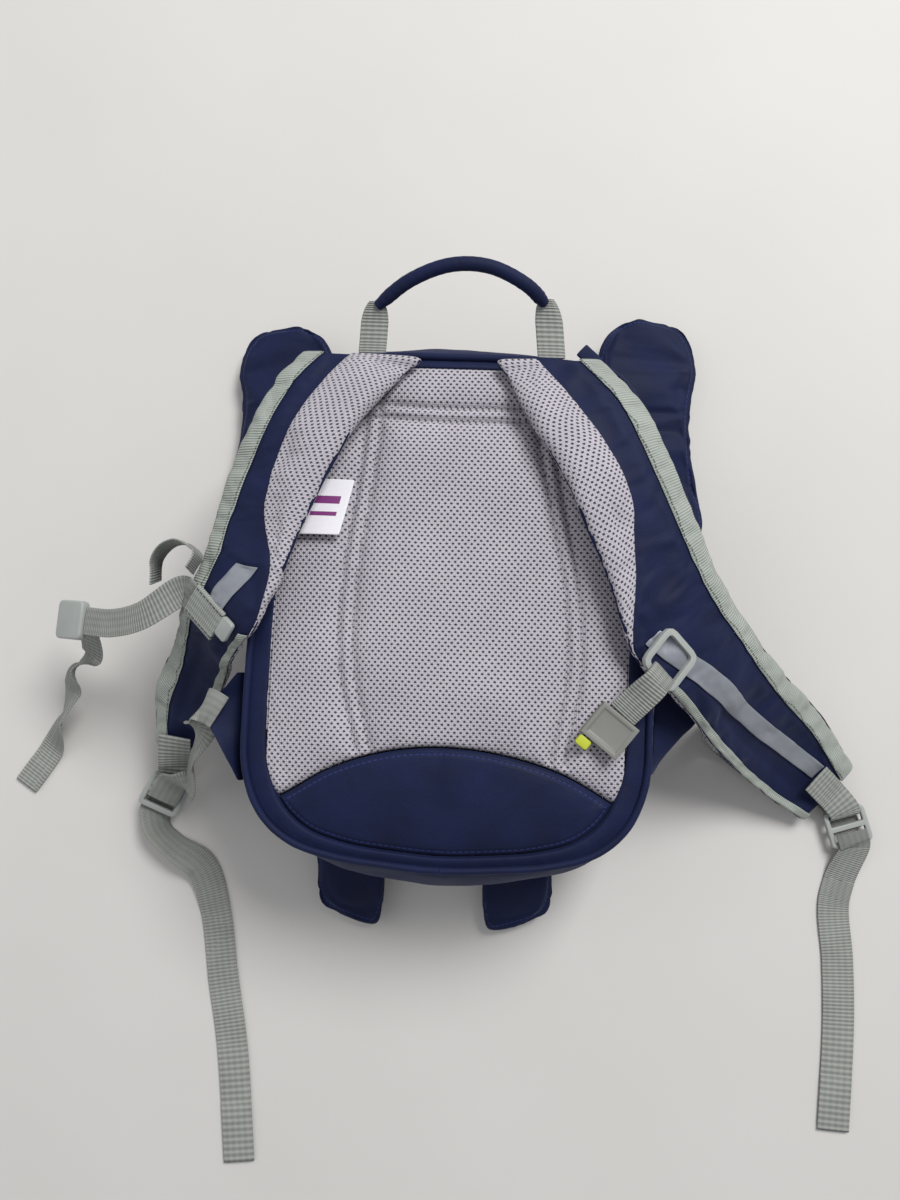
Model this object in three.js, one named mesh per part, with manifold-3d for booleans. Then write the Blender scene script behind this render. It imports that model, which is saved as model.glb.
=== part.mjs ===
// A small child's backpack with ears and feet, lying on its front panel.
// Millimetres. Z points up out of the back pad, Y towards the pack's top, X to the right.
// The origin is the middle of the flat patch of the front panel that the pack rests on.

import * as THREE from 'three';
import { mergeVertices } from 'three/addons/utils/BufferGeometryUtils.js';
import Module from 'manifold-3d';

const wasm = await Module();
wasm.setup();

// The bag.
const PACK_WIDTH = 226;       // across the back seam
const PACK_HEIGHT = 291;      // along the back seam
const PACK_DEPTH = 104;       // floor to back seam
const WALL = 2;               // padded cloth wall
const SIDE_SWELL = 8;         // how far the sides bulge past the back seam
const END_SWELL = 16;         // how far the top and base bulge past it
const FRONT_ROUND = 30;       // how far the front panel rounds in before it rests flat
const BORDER = 12;            // navy border between the back seam and the pad, at the sides
const END_BORDER = 7;         // the same at the top and base
const PIPING_RADIUS = 2;
const GAP = 0.3;              // between pieces sewn to each other

// The back pad.
const PAD_CROWN = 6;          // rise of the pad's middle over the back seam
const PAD_EDGE = 4;           // thickness of the pad at its rim
const CHANNEL_WIDTH = 2.4;
const CHANNEL_DEPTH = 1.6;
const CHANNEL_PITCH = 8;      // between the two lines of a double channel
const LUMBAR_RISE = 68;       // from the pack's lowest back seam to the arch's crown

// The zip.
const ZIP_WIDTH = 5;
const ZIP_THICK = 1.2;
const SLIDER_LENGTH = 10;
const SLIDER_WIDTH = 7;
const PULL_LENGTH = 13;
const PULL_WIDTH = 10;

// Ears, feet and wings.
const EAR_THICK = 8;
const EAR_HEIGHT = 165;
const EAR_REACH = 45;         // past the bag's side
const FOOT_THICK = 8;
const FOOT_LENGTH = 49;
const WING_REACH = 25;
const WING_THICK = 3;

// The handle.
const HANDLE_SPAN = 104;
const HANDLE_RISE = 45;       // above the top seam
const HANDLE_WEB = 16;
const GRIP_RADIUS = 4;

// Shoulder straps and their trims.
const STRAP_THICK = 10;
const SKIN = 1;               // thickness of the mesh and tapes laid on a strap
const SKIN_GAP = 0.7;
const BINDING_WIDTH = 9;
const REFLECTOR_WIDTH = 12;

// Webbing and its plastics.
const WEB_WIDTH = 20;
const WEB_THICK = 1.4;
const LOCK_LENGTH = 24;
const LOCK_THICK = 4;
const LOCK_BAR = 3.4;
const TAIL_RIGHT_LENGTH = 190;
const TAIL_LEFT_LENGTH = 222;
const CHEST_LENGTH = 110;
const CHEST_TAIL = 120;
const LABEL_WIDTH = 25;
const LABEL_HEIGHT = 32;

// How finely curved forms are cut.
const BODY_SIDES = 40;
const STRAP_STEPS = 16;

const HALF_WIDTH = PACK_WIDTH / 2;
const HALF_HEIGHT = PACK_HEIGHT / 2;

const NAVY = 0x1f2850;
const MESH_GREY = 0xb3acb4;
const TAPE_GREY = 0xa3ab9f;
const REFLECTIVE_GREY = 0x8d9499;
const PLASTIC_GREY = 0xa4a9a4;

const navyCloth = new THREE.MeshStandardMaterial({ color: NAVY, roughness: 0.85, metalness: 0 });
const meshCloth = new THREE.MeshStandardMaterial({ color: MESH_GREY, roughness: 0.95, metalness: 0 });
const greyTape = new THREE.MeshStandardMaterial({ color: TAPE_GREY, roughness: 0.8, metalness: 0 });
const reflective = new THREE.MeshStandardMaterial({ color: REFLECTIVE_GREY, roughness: 0.45, metalness: 0 });
const greyPlastic = new THREE.MeshStandardMaterial({ color: PLASTIC_GREY, roughness: 0.4, metalness: 0 });
const yellowPlastic = new THREE.MeshStandardMaterial({ color: 0xc4d234, roughness: 0.4, metalness: 0 });
const zipMetal = new THREE.MeshStandardMaterial({ color: 0x33363c, roughness: 0.35, metalness: 0.8 });
const zipCoil = new THREE.MeshStandardMaterial({ color: 0x151a30, roughness: 0.5, metalness: 0 });
const whiteSatin = new THREE.MeshStandardMaterial({ color: 0xe9e7ea, roughness: 0.6, metalness: 0 });

const pack = new THREE.Group();

function addPiece(name, geometry, material) {
  const mesh = new THREE.Mesh(geometry, material);
  mesh.name = name;
  pack.add(mesh);
  return mesh;
}

const vec = (x, y, z) => new THREE.Vector3(x, y, z);

// Turns every face out, whichever way round the rings ran.
function facingOut(positions, faces) {
  let volume = 0;
  for (const [a, b, c] of faces) {
    volume += positions[a].dot(positions[b].clone().cross(positions[c]));
  }
  const index = volume < 0 ? faces.map(([a, b, c]) => [a, c, b]) : faces;
  const geometry = new THREE.BufferGeometry();
  geometry.setFromPoints(positions);
  geometry.setIndex(index.flat());
  geometry.computeVertexNormals();
  return geometry;
}

// Skins a row of rings, each a list of as many points. A looped row closes on itself;
// otherwise both ends are capped, with a fan for round rings or a strip for flat ones.
function loft(rings, { looped = false, cap = 'fan' } = {}) {
  const count = rings[0].length;
  const positions = rings.flat().map((point) => point.clone());
  const faces = [];
  const spans = looped ? rings.length : rings.length - 1;
  for (let i = 0; i < spans; i += 1) {
    const here = i * count;
    const next = ((i + 1) % rings.length) * count;
    for (let j = 0; j < count; j += 1) {
      const k = (j + 1) % count;
      const [a, b, c, d] = [here + j, here + k, next + k, next + j];
      if (positions[a].distanceTo(positions[c]) < positions[b].distanceTo(positions[d])) {
        faces.push([a, b, c], [a, c, d]);
      } else {
        faces.push([a, b, d], [b, c, d]);
      }
    }
  }
  if (!looped) {
    for (const [start, turned] of [[0, true], [(rings.length - 1) * count, false]]) {
      const fan = [];
      if (cap === 'fan') {
        const middle = positions.length;
        const centre = vec(0, 0, 0);
        for (let j = 0; j < count; j += 1) {
          centre.addScaledVector(positions[start + j], 1 / count);
          fan.push([start + j, start + ((j + 1) % count), middle]);
        }
        positions.push(centre);
      } else {
        for (let j = 0; j < count / 2 - 1; j += 1) {
          const far = count - 1 - j;
          fan.push([start + j, start + j + 1, start + far]);
          fan.push([start + j + 1, start + far - 1, start + far]);
        }
      }
      for (const [a, b, c] of fan) {
        faces.push(turned ? [a, c, b] : [a, b, c]);
      }
    }
  }
  return facingOut(positions, faces);
}

function toManifold(geometry) {
  const bare = geometry.clone();
  bare.deleteAttribute('normal');
  bare.deleteAttribute('uv');
  const merged = mergeVertices(bare, 1e-4);
  const vertProperties = new Float32Array(merged.attributes.position.array);
  const triVerts = new Uint32Array(merged.index.array);
  return new wasm.Manifold(new wasm.Mesh({ numProp: 3, vertProperties, triVerts }));
}

function fromManifold(body) {
  const mesh = body.getMesh();
  const geometry = new THREE.BufferGeometry();
  geometry.setAttribute('position', new THREE.BufferAttribute(mesh.vertProperties, 3));
  geometry.setIndex(new THREE.BufferAttribute(mesh.triVerts, 1));
  return geometry;
}

// The back seam's right half from the base to the top, as shares of half the width and height.
const SEAM_ROWS = [
  { across: 0.27, along: -0.985 },
  { across: 0.53, along: -0.962 },
  { across: 0.75, along: -0.91 },
  { across: 0.9, along: -0.81 },
  { across: 0.985, along: -0.65 },
  { across: 1, along: -0.41 },
  { across: 0.99, along: 0 },
  { across: 0.985, along: 0.34 },
  { across: 0.965, along: 0.62 },
  { across: 0.9, along: 0.84 },
  { across: 0.77, along: 0.955 },
  { across: 0.5, along: 0.99 },
];

function seamOutline() {
  const right = SEAM_ROWS.map((row) => vec(row.across * HALF_WIDTH, row.along * HALF_HEIGHT, 0));
  const left = right.map((point) => vec(-point.x, point.y, 0)).reverse();
  const base = vec(0, -0.997 * HALF_HEIGHT, 0);
  const top = vec(0, HALF_HEIGHT, 0);
  const curve = new THREE.CatmullRomCurve3([base, ...right, top, ...left], true, 'centripetal');
  return curve.getSpacedPoints(BODY_SIDES).slice(0, BODY_SIDES);
}

const SEAM = seamOutline();

// One ring round the bag: the seam's outline, grown by a share of each swell and an inset.
// The ends swell most in the middle and not at all at the corners.
function bodyRing(height, swell, inset, endInset = inset) {
  return SEAM.map((point) => {
    const growX = swell * SIDE_SWELL - inset;
    const growY = swell * END_SWELL * (1 - (point.x / HALF_WIDTH) ** 2) - endInset;
    return vec(point.x * (1 + growX / HALF_WIDTH), point.y * (1 + growY / HALF_HEIGHT), height);
  });
}

// The bag's side, from the floor to the back seam. Inset is a share of FRONT_ROUND.
const SIDE_ROWS = [
  { height: 0, swell: 0, inset: 1 },
  { height: 0.015, swell: 0, inset: 0.62 },
  { height: 0.06, swell: 0, inset: 0.28 },
  { height: 0.14, swell: 0.15, inset: 0.06 },
  { height: 0.26, swell: 0.62, inset: 0 },
  { height: 0.42, swell: 0.92, inset: 0 },
  { height: 0.6, swell: 1, inset: 0 },
  { height: 0.76, swell: 0.82, inset: 0 },
  { height: 0.9, swell: 0.4, inset: 0 },
  { height: 0.965, swell: 0.1, inset: 0.02 },
];
const ZIP_ROW = 6;
const ZIP_HEIGHT = SIDE_ROWS[ZIP_ROW].height * PACK_DEPTH;

function sideAt(height) {
  const share = height / PACK_DEPTH;
  let upper = SIDE_ROWS.findIndex((row) => row.height > share);
  if (upper < 1) {
    upper = SIDE_ROWS.length - 1;
  }
  const a = SIDE_ROWS[upper - 1];
  const b = SIDE_ROWS[upper];
  const mix = (share - a.height) / (b.height - a.height);
  return {
    swell: a.swell + (b.swell - a.swell) * mix,
    inset: (a.inset + (b.inset - a.inset) * mix) * FRONT_ROUND,
  };
}

// Where the bag's side stands at a height: its X on the right for a Y, or its lowest Y for an X.
function crossing(height, value, from, to) {
  const { swell, inset } = sideAt(height);
  const ring = bodyRing(height, swell, inset);
  const found = [];
  ring.forEach((point, index) => {
    const next = ring[(index + 1) % ring.length];
    const low = Math.min(point[from], next[from]);
    const high = Math.max(point[from], next[from]);
    if (low <= value && value <= high && high > low) {
      const mix = (value - point[from]) / (next[from] - point[from]);
      found.push(point[to] + (next[to] - point[to]) * mix);
    }
  });
  return found;
}

const sideX = (y, height) => Math.max(...crossing(height, y, 'y', 'x'));
const baseY = (x, height) => Math.min(...crossing(height, x, 'x', 'y'));

function ringsFrom(rows, extra) {
  return rows.map((row) => bodyRing(
    row.height * PACK_DEPTH,
    row.swell,
    row.inset * FRONT_ROUND + extra,
  ));
}

function frontShell() {
  const rows = SIDE_ROWS.slice(0, ZIP_ROW + 1);
  const outer = ringsFrom(rows, 0);
  const inner = ringsFrom(rows, WALL).map((ring, index) => {
    const lift = index === 0 ? WALL : Math.min(WALL, ring[0].z * 0.5 + 1);
    const top = index === rows.length - 1;
    return ring.map((point) => vec(point.x, point.y, top ? point.z : Math.max(point.z, WALL) + lift * 0.2));
  });
  return loft([...outer, ...inner.reverse()]);
}

function backGusset() {
  const rows = SIDE_ROWS.slice(ZIP_ROW);
  const outer = ringsFrom(rows, 0);
  outer[0].forEach((point) => {
    point.z += GAP;
  });
  const lip = bodyRing(PACK_DEPTH - 0.5, 0, 4);
  const lipEdge = bodyRing(PACK_DEPTH + 0.5, 0, BORDER, END_BORDER);
  const lipUnder = bodyRing(PACK_DEPTH + 0.5 - WALL, 0, BORDER, END_BORDER);
  const corner = bodyRing(PACK_DEPTH - 0.5 - WALL, 0, 4 + WALL);
  const inner = ringsFrom(rows.slice(0, -1), WALL);
  inner[0].forEach((point) => {
    point.z += GAP;
  });
  return loft([...outer, lip, lipEdge, lipUnder, corner, ...inner.reverse()], { looped: true });
}

function backPiping() {
  const seam = bodyRing(PACK_DEPTH - 0.2, 0, 0.2);
  const sides = 6;
  const rings = seam.map((point, index) => {
    const before = seam[(index + seam.length - 1) % seam.length];
    const after = seam[(index + 1) % seam.length];
    const out = after.clone().sub(before).normalize().cross(vec(0, 0, 1));
    return Array.from({ length: sides }, (_, side) => {
      const angle = (side / sides) * Math.PI * 2;
      return point.clone()
        .addScaledVector(out, Math.cos(angle) * PIPING_RADIUS)
        .add(vec(0, 0, Math.sin(angle) * PIPING_RADIUS));
    });
  });
  return loft(rings, { looped: true });
}

// Height of the pad's face over a point of the back.
function padTop(x, y) {
  const halfX = HALF_WIDTH - BORDER;
  const halfY = HALF_HEIGHT - END_BORDER;
  const away = Math.min(1, (Math.abs(x) / halfX) ** 3 + (Math.abs(y) / halfY) ** 3);
  return PACK_DEPTH + 1 + PAD_CROWN * (1 - away ** 1.3);
}

function padBody() {
  const rim = bodyRing(0, 0, BORDER + GAP + 0.1, END_BORDER + GAP + 0.1);
  const place = (share, z) => rim.map((p) => vec(p.x * share, p.y * share, z ?? padTop(p.x * share, p.y * share)));
  const shares = [0.97, 0.88, 0.74, 0.54, 0.28];
  const rings = [place(1, PACK_DEPTH - PAD_EDGE), place(1, PACK_DEPTH), ...shares.map((s) => place(s))];
  return loft(rings);
}

// The arch between the mesh pad and the lumbar pad, as shares of the half width and LUMBAR_RISE.
const LUMBAR_ROWS = [
  { across: -1.02, rise: 0.36 },
  { across: -0.8, rise: 0.55 },
  { across: -0.55, rise: 0.8 },
  { across: -0.28, rise: 0.95 },
  { across: 0, rise: 1 },
  { across: 0.28, rise: 0.96 },
  { across: 0.57, rise: 0.83 },
  { across: 0.8, rise: 0.63 },
  { across: 1.02, rise: 0.4 },
];

function lumbarPrism(grow) {
  const foot = -HALF_HEIGHT * 1.1;
  const shape = new THREE.Shape();
  shape.moveTo(-HALF_WIDTH * 1.02, foot);
  for (const row of LUMBAR_ROWS) {
    shape.lineTo(row.across * HALF_WIDTH, -HALF_HEIGHT + row.rise * LUMBAR_RISE + grow);
  }
  shape.lineTo(HALF_WIDTH * 1.02, foot);
  const prism = new THREE.ExtrudeGeometry(shape, { depth: PACK_DEPTH, bevelEnabled: false });
  prism.translate(0, 0, PACK_DEPTH / 2);
  return toManifold(prism);
}

// The sewn channels, as shares of the half width and half height.
const TOP_CHANNEL = [
  { across: -0.62, along: 0.8 },
  { across: -0.3, along: 0.775 },
  { across: 0, along: 0.765 },
  { across: 0.3, along: 0.775 },
  { across: 0.62, along: 0.8 },
];
const LEFT_CHANNEL = [
  { across: -0.43, along: 0.9 },
  { across: -0.46, along: 0.45 },
  { across: -0.51, along: 0.1 },
  { across: -0.5, along: -0.25 },
  { across: -0.4, along: -0.56 },
];
const RIGHT_CHANNEL = [
  { across: 0.41, along: 0.9 },
  { across: 0.52, along: 0.38 },
  { across: 0.6, along: 0.05 },
  { across: 0.62, along: -0.25 },
  { across: 0.55, along: -0.58 },
];

function channelCutter(rows, shiftX, shiftY) {
  const points = rows.map((row) => vec(row.across * HALF_WIDTH + shiftX, row.along * HALF_HEIGHT + shiftY, 0));
  const curve = new THREE.CatmullRomCurve3(points, false, 'centripetal');
  const rings = [];
  const steps = 7;
  for (let i = 0; i <= steps; i += 1) {
    const at = curve.getPoint(i / steps);
    const side = curve.getTangent(i / steps).cross(vec(0, 0, 1)).setLength(CHANNEL_WIDTH / 2);
    const z = padTop(at.x, at.y);
    rings.push([
      vec(at.x - side.x * 2, at.y - side.y * 2, z + CHANNEL_DEPTH),
      vec(at.x + side.x * 2, at.y + side.y * 2, z + CHANNEL_DEPTH),
      vec(at.x, at.y, z - CHANNEL_DEPTH),
    ]);
  }
  return toManifold(loft(rings));
}

function padPieces() {
  let pad = toManifold(padBody());
  const lumbar = pad.intersect(lumbarPrism(0));
  pad = pad.subtract(lumbarPrism(GAP));
  const half = CHANNEL_PITCH / 2;
  for (const offset of [-half, half]) {
    pad = pad.subtract(channelCutter(TOP_CHANNEL, 0, offset));
    pad = pad.subtract(channelCutter(LEFT_CHANNEL, offset, 0));
    pad = pad.subtract(channelCutter(RIGHT_CHANNEL, offset, 0));
  }
  return { pad: fromManifold(pad), lumbar: fromManifold(lumbar) };
}

addPiece('front_shell', frontShell(), navyCloth);
addPiece('back_gusset', backGusset(), navyCloth);
addPiece('back_piping', backPiping(), navyCloth);
const { pad, lumbar } = padPieces();
addPiece('back_pad', pad, meshCloth);
addPiece('lumbar_pad', lumbar, navyCloth);

// The zip runs round the top, on the seam between the front panel's side and the gusset.
const ZIP_START = 0.27;
const ZIP_END = 0.73;
const ZIP_OUT = 0.4;

function zipRing(out, z) {
  const first = Math.round(ZIP_START * BODY_SIDES);
  const last = Math.round(ZIP_END * BODY_SIDES);
  return bodyRing(z, 1, -out).slice(first, last + 1);
}

function zipChain() {
  const low = ZIP_HEIGHT - ZIP_WIDTH / 2;
  const high = ZIP_HEIGHT + ZIP_WIDTH / 2;
  const lines = [
    zipRing(ZIP_OUT, low),
    zipRing(ZIP_OUT + ZIP_THICK, low + 1),
    zipRing(ZIP_OUT + ZIP_THICK, high - 1),
    zipRing(ZIP_OUT, high),
  ];
  return loft(lines[0].map((_, index) => lines.map((line) => line[index])), { cap: 'strip' });
}

addPiece('zip_chain', zipChain(), zipCoil);

// A place on the zip: its point, the way along it and the way out, for a share of the chain.
function zipPlace(share, out) {
  const line = zipRing(out, ZIP_HEIGHT);
  const at = share * (line.length - 1);
  const index = Math.min(line.length - 2, Math.floor(at));
  const point = line[index].clone().lerp(line[index + 1], at - index);
  const along = line[index + 1].clone().sub(line[index]).normalize();
  const outward = along.clone().cross(vec(0, 0, 1));
  return { point, along, outward };
}

// A block with rounded outline lying on three given ways.
function plate(shape, thick, origin, u, v) {
  const w = u.clone().cross(v).normalize();
  const geometry = new THREE.ExtrudeGeometry(shape, { depth: thick, bevelEnabled: false, curveSegments: 3 });
  const frame = new THREE.Matrix4().makeBasis(u, v, w).setPosition(origin);
  geometry.translate(0, 0, -thick / 2);
  geometry.applyMatrix4(frame);
  return geometry;
}

function roundedShape(width, height, radius, target = new THREE.Shape()) {
  const x = width / 2;
  const y = height / 2;
  target.moveTo(-x + radius, -y);
  target.lineTo(x - radius, -y);
  target.quadraticCurveTo(x, -y, x, -y + radius);
  target.lineTo(x, y - radius);
  target.quadraticCurveTo(x, y, x - radius, y);
  target.lineTo(-x + radius, y);
  target.quadraticCurveTo(-x, y, -x, y - radius);
  target.lineTo(-x, -y + radius);
  target.quadraticCurveTo(-x, -y, -x + radius, -y);
  return target;
}

const SLIDER_SHARE = 0.3;
const SLIDER_THICK = 2.6;
const RING_SIZE = 9;
const RING_WIRE = 1.6;

function zipFittings() {
  const seat = ZIP_OUT + ZIP_THICK + GAP + SLIDER_THICK / 2;
  const { point, along, outward } = zipPlace(SLIDER_SHARE, seat);
  const up = vec(0, 0, 1);
  addPiece('zip_slider', plate(roundedShape(SLIDER_LENGTH, SLIDER_WIDTH, 2), SLIDER_THICK, point, along, up), zipMetal);
  const ringShape = roundedShape(RING_SIZE, RING_SIZE, 3);
  const eye = new THREE.Path();
  roundedShape(RING_SIZE - RING_WIRE * 2, RING_SIZE - RING_WIRE * 2, 1.5, eye);
  ringShape.holes.push(eye);
  const ringAt = point.clone()
    .addScaledVector(outward, SLIDER_THICK / 2 + GAP + RING_WIRE / 2)
    .addScaledVector(along, RING_SIZE * 0.4);
  addPiece('zip_ring', plate(ringShape, RING_WIRE, ringAt, along, up), zipMetal);
  const pullAt = ringAt.clone().addScaledVector(along, RING_SIZE / 2 + GAP + PULL_LENGTH / 2);
  const pull = roundedShape(PULL_LENGTH, PULL_WIDTH, 2);
  addPiece('zip_pull', plate(pull, RING_WIRE, pullAt, along, up), navyCloth);
}

zipFittings();

// One padded flap's section: a flat oval between two points, with a rounded rim.
function flapSection(inner, outer, thick) {
  const sides = 8;
  const middle = inner.clone().lerp(outer, 0.5);
  const half = outer.clone().sub(inner).multiplyScalar(0.5);
  const ring = [];
  for (let i = 0; i < sides; i += 1) {
    const angle = ((i + 0.5) / sides) * Math.PI * 2;
    const across = Math.sign(Math.cos(angle)) * Math.abs(Math.cos(angle)) ** 0.35;
    const reach = across / Math.cos(Math.PI / sides) ** 0.35;
    const up = Math.sign(Math.sin(angle)) * Math.abs(Math.sin(angle)) ** 0.7;
    ring.push(middle.clone().addScaledVector(half, reach).add(vec(0, 0, up * thick * 0.5)));
  }
  return ring;
}

// A table's columns read at a share of its length, smoothly between the rows.
function readRows(rows, share) {
  const keys = Object.keys(rows[0]);
  const curves = keys.map((key) => new THREE.SplineCurve(rows.map((row, index) => (
    new THREE.Vector2(index, row[key])
  ))));
  return Object.fromEntries(keys.map((key, index) => [key, curves[index].getPoint(share).y]));
}

// The ears, from their lower end to the top: shares of EAR_HEIGHT and EAR_REACH. Up to the
// bag's corner the inner edge is sewn to the bag's side, wherever that lies further out.
const EAR_ROWS = [
  { along: 0, inner: -0.6, outer: 0.2, thick: 0.4 },
  { along: 0.03, inner: -0.6, outer: 0.55, thick: 0.8 },
  { along: 0.09, inner: -0.6, outer: 0.88, thick: 1 },
  { along: 0.18, inner: -0.6, outer: 1, thick: 1 },
  { along: 0.32, inner: -0.6, outer: 0.9, thick: 1 },
  { along: 0.48, inner: -0.6, outer: 0.8, thick: 1 },
  { along: 0.6, inner: -0.62, outer: 0.78, thick: 1 },
  { along: 0.7, inner: -0.66, outer: 0.8, thick: 1 },
  { along: 0.8, inner: -0.64, outer: 0.85, thick: 1 },
  { along: 0.89, inner: -0.57, outer: 0.8, thick: 1 },
  { along: 0.96, inner: -0.38, outer: 0.66, thick: 0.85 },
  { along: 1, inner: -0.08, outer: 0.4, thick: 0.4 },
];
const EAR_FOOT = 0.27;        // where the ears start, as a share of the half height
const EAR_ROOT_HEIGHT = 0.2;  // of the bag's depth
const EAR_TIP_HEIGHT = 0.12;
const EAR_STEPS = 24;
const SEWN_GAP = 0.6;         // between a padded flap's rim and the curved side that holds it

function ear(side, stretch) {
  const rootZ = EAR_ROOT_HEIGHT * PACK_DEPTH;
  const tipZ = EAR_TIP_HEIGHT * PACK_DEPTH;
  const bag = HALF_WIDTH + SIDE_SWELL * sideAt(rootZ).swell;
  const rings = [];
  for (let i = 0; i <= EAR_STEPS; i += 1) {
    const row = readRows(EAR_ROWS, i / EAR_STEPS);
    const y = EAR_FOOT * HALF_HEIGHT + row.along * EAR_HEIGHT * stretch;
    const sewn = Math.max(sideX(y, rootZ - EAR_THICK / 2), sideX(y, rootZ + EAR_THICK / 2));
    const inner = Math.max(sewn + SEWN_GAP, bag + row.inner * EAR_REACH);
    const outer = bag + row.outer * EAR_REACH;
    rings.push(flapSection(vec(inner * side, y, rootZ), vec(outer * side, y, tipZ), row.thick * EAR_THICK));
  }
  return loft(rings);
}

const LEFT_EAR_STRETCH = 0.93;
addPiece('ear_left', ear(-1, LEFT_EAR_STRETCH), navyCloth);
addPiece('ear_right', ear(1, 1), navyCloth);

// The feet, across from the inner edge to the outer: shares of the half width and FOOT_LENGTH.
const FOOT_ROWS = [
  { across: 0.28, tip: 0.7, thick: 0.5 },
  { across: 0.31, tip: 0.95, thick: 0.9 },
  { across: 0.36, tip: 1, thick: 1 },
  { across: 0.45, tip: 0.96, thick: 1 },
  { across: 0.55, tip: 0.86, thick: 1 },
  { across: 0.64, tip: 0.73, thick: 1 },
  { across: 0.68, tip: 0.5, thick: 0.5 },
];
const FOOT_SHIFT = -0.06;     // both feet sit a little to the left of the middle
const FOOT_ROOT_HEIGHT = 0.2;
const FOOT_TIP_HEIGHT = 0.1;

function foot(side) {
  const rootZ = FOOT_ROOT_HEIGHT * PACK_DEPTH;
  const tipZ = FOOT_TIP_HEIGHT * PACK_DEPTH;
  const rings = FOOT_ROWS.map((row) => {
    const x = (row.across * side + FOOT_SHIFT) * HALF_WIDTH;
    const root = Math.min(baseY(x, rootZ - FOOT_THICK / 2), baseY(x, rootZ + FOOT_THICK / 2));
    const tip = -HALF_HEIGHT - END_SWELL * 0.4 - row.tip * FOOT_LENGTH;
    return flapSection(vec(x, root, rootZ), vec(x, tip, tipZ), row.thick * FOOT_THICK);
  });
  return loft(rings);
}

addPiece('foot_left', foot(-1), navyCloth);
addPiece('foot_right', foot(1), navyCloth);

// The wings, from their upper end down: shares of the half height and WING_REACH.
const WING_ROWS = [
  { along: -0.2, out: 0.04 },
  { along: -0.26, out: 0.45 },
  { along: -0.32, out: 0.95 },
  { along: -0.4, out: 1 },
  { along: -0.47, out: 0.62 },
  { along: -0.56, out: 0.2 },
  { along: -0.62, out: 0.04 },
];
const LEFT_WING = { side: -1, shift: -0.08, height: 0.87, drop: -0.08, reach: 0.64, sewn: 4 };
const RIGHT_WING = { side: 1, shift: 0, height: 0.74, drop: 0.08, reach: 1, sewn: 1.5 };

function wing({ side, shift, height, drop, reach }) {
  const z = height * PACK_DEPTH;
  const tipZ = z - drop * PACK_DEPTH;
  const rings = WING_ROWS.map((row) => {
    const y = (row.along + shift) * HALF_HEIGHT;
    const root = Math.max(sideX(y, z - WING_THICK), sideX(y, z + WING_THICK)) + 2 * GAP;
    const tip = root + 2 + row.out * WING_REACH * reach;
    const half = WING_THICK / 2;
    return [
      vec(root * side, y, z - half),
      vec(tip * side, y, tipZ - half),
      vec(tip * side, y, tipZ + half),
      vec(root * side, y, z + half),
    ];
  });
  return loft(rings, { cap: 'strip' });
}

addPiece('wing_left', wing(LEFT_WING), navyCloth);
addPiece('wing_right', wing(RIGHT_WING), navyCloth);

// The shoulder straps, from the top seam down to the ladder lock. Each row gives the inner
// and the outer edge as shares of the half width, half height and depth, the thickness as a
// share of STRAP_THICK, and where the mesh begins round the section (see strapPoint).
const STRAP_RIGHT_ROWS = [
  { inX: 0.18, inY: 0.97, inZ: 1.06, outX: 0.7, outY: 0.98, outZ: 1.06, thick: 0.5, mesh: 0.61 },
  { inX: 0.36, inY: 0.69, inZ: 1.16, outX: 0.9, outY: 0.82, outZ: 1.1, thick: 0.85, mesh: 0.55 },
  { inX: 0.57, inY: 0.41, inZ: 1.18, outX: 1.05, outY: 0.59, outZ: 1.1, thick: 1, mesh: 0.48 },
  { inX: 0.75, inY: 0.11, inZ: 1.16, outX: 1.19, outY: 0.36, outZ: 1.06, thick: 1, mesh: 0.72 },
  { inX: 0.88, inY: -0.14, inZ: 1.13, outX: 1.32, outY: 0.17, outZ: 0.97, thick: 1, mesh: 0.985 },
  { inX: 1.1, inY: -0.3, inZ: 1.0, outX: 1.53, outY: -0.02, outZ: 0.79, thick: 1, mesh: 0.985 },
  { inX: 1.41, inY: -0.52, inZ: 0.62, outX: 1.79, outY: -0.2, outZ: 0.55, thick: 1, mesh: 0.985 },
  { inX: 1.73, inY: -0.7, inZ: 0.26, outX: 2.08, outY: -0.37, outZ: 0.28, thick: 0.9, mesh: 0.985 },
  { inX: 2.03, inY: -0.83, inZ: 0.075, outX: 2.31, outY: -0.58, outZ: 0.08, thick: 0.7, mesh: 0.985 },
];
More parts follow.
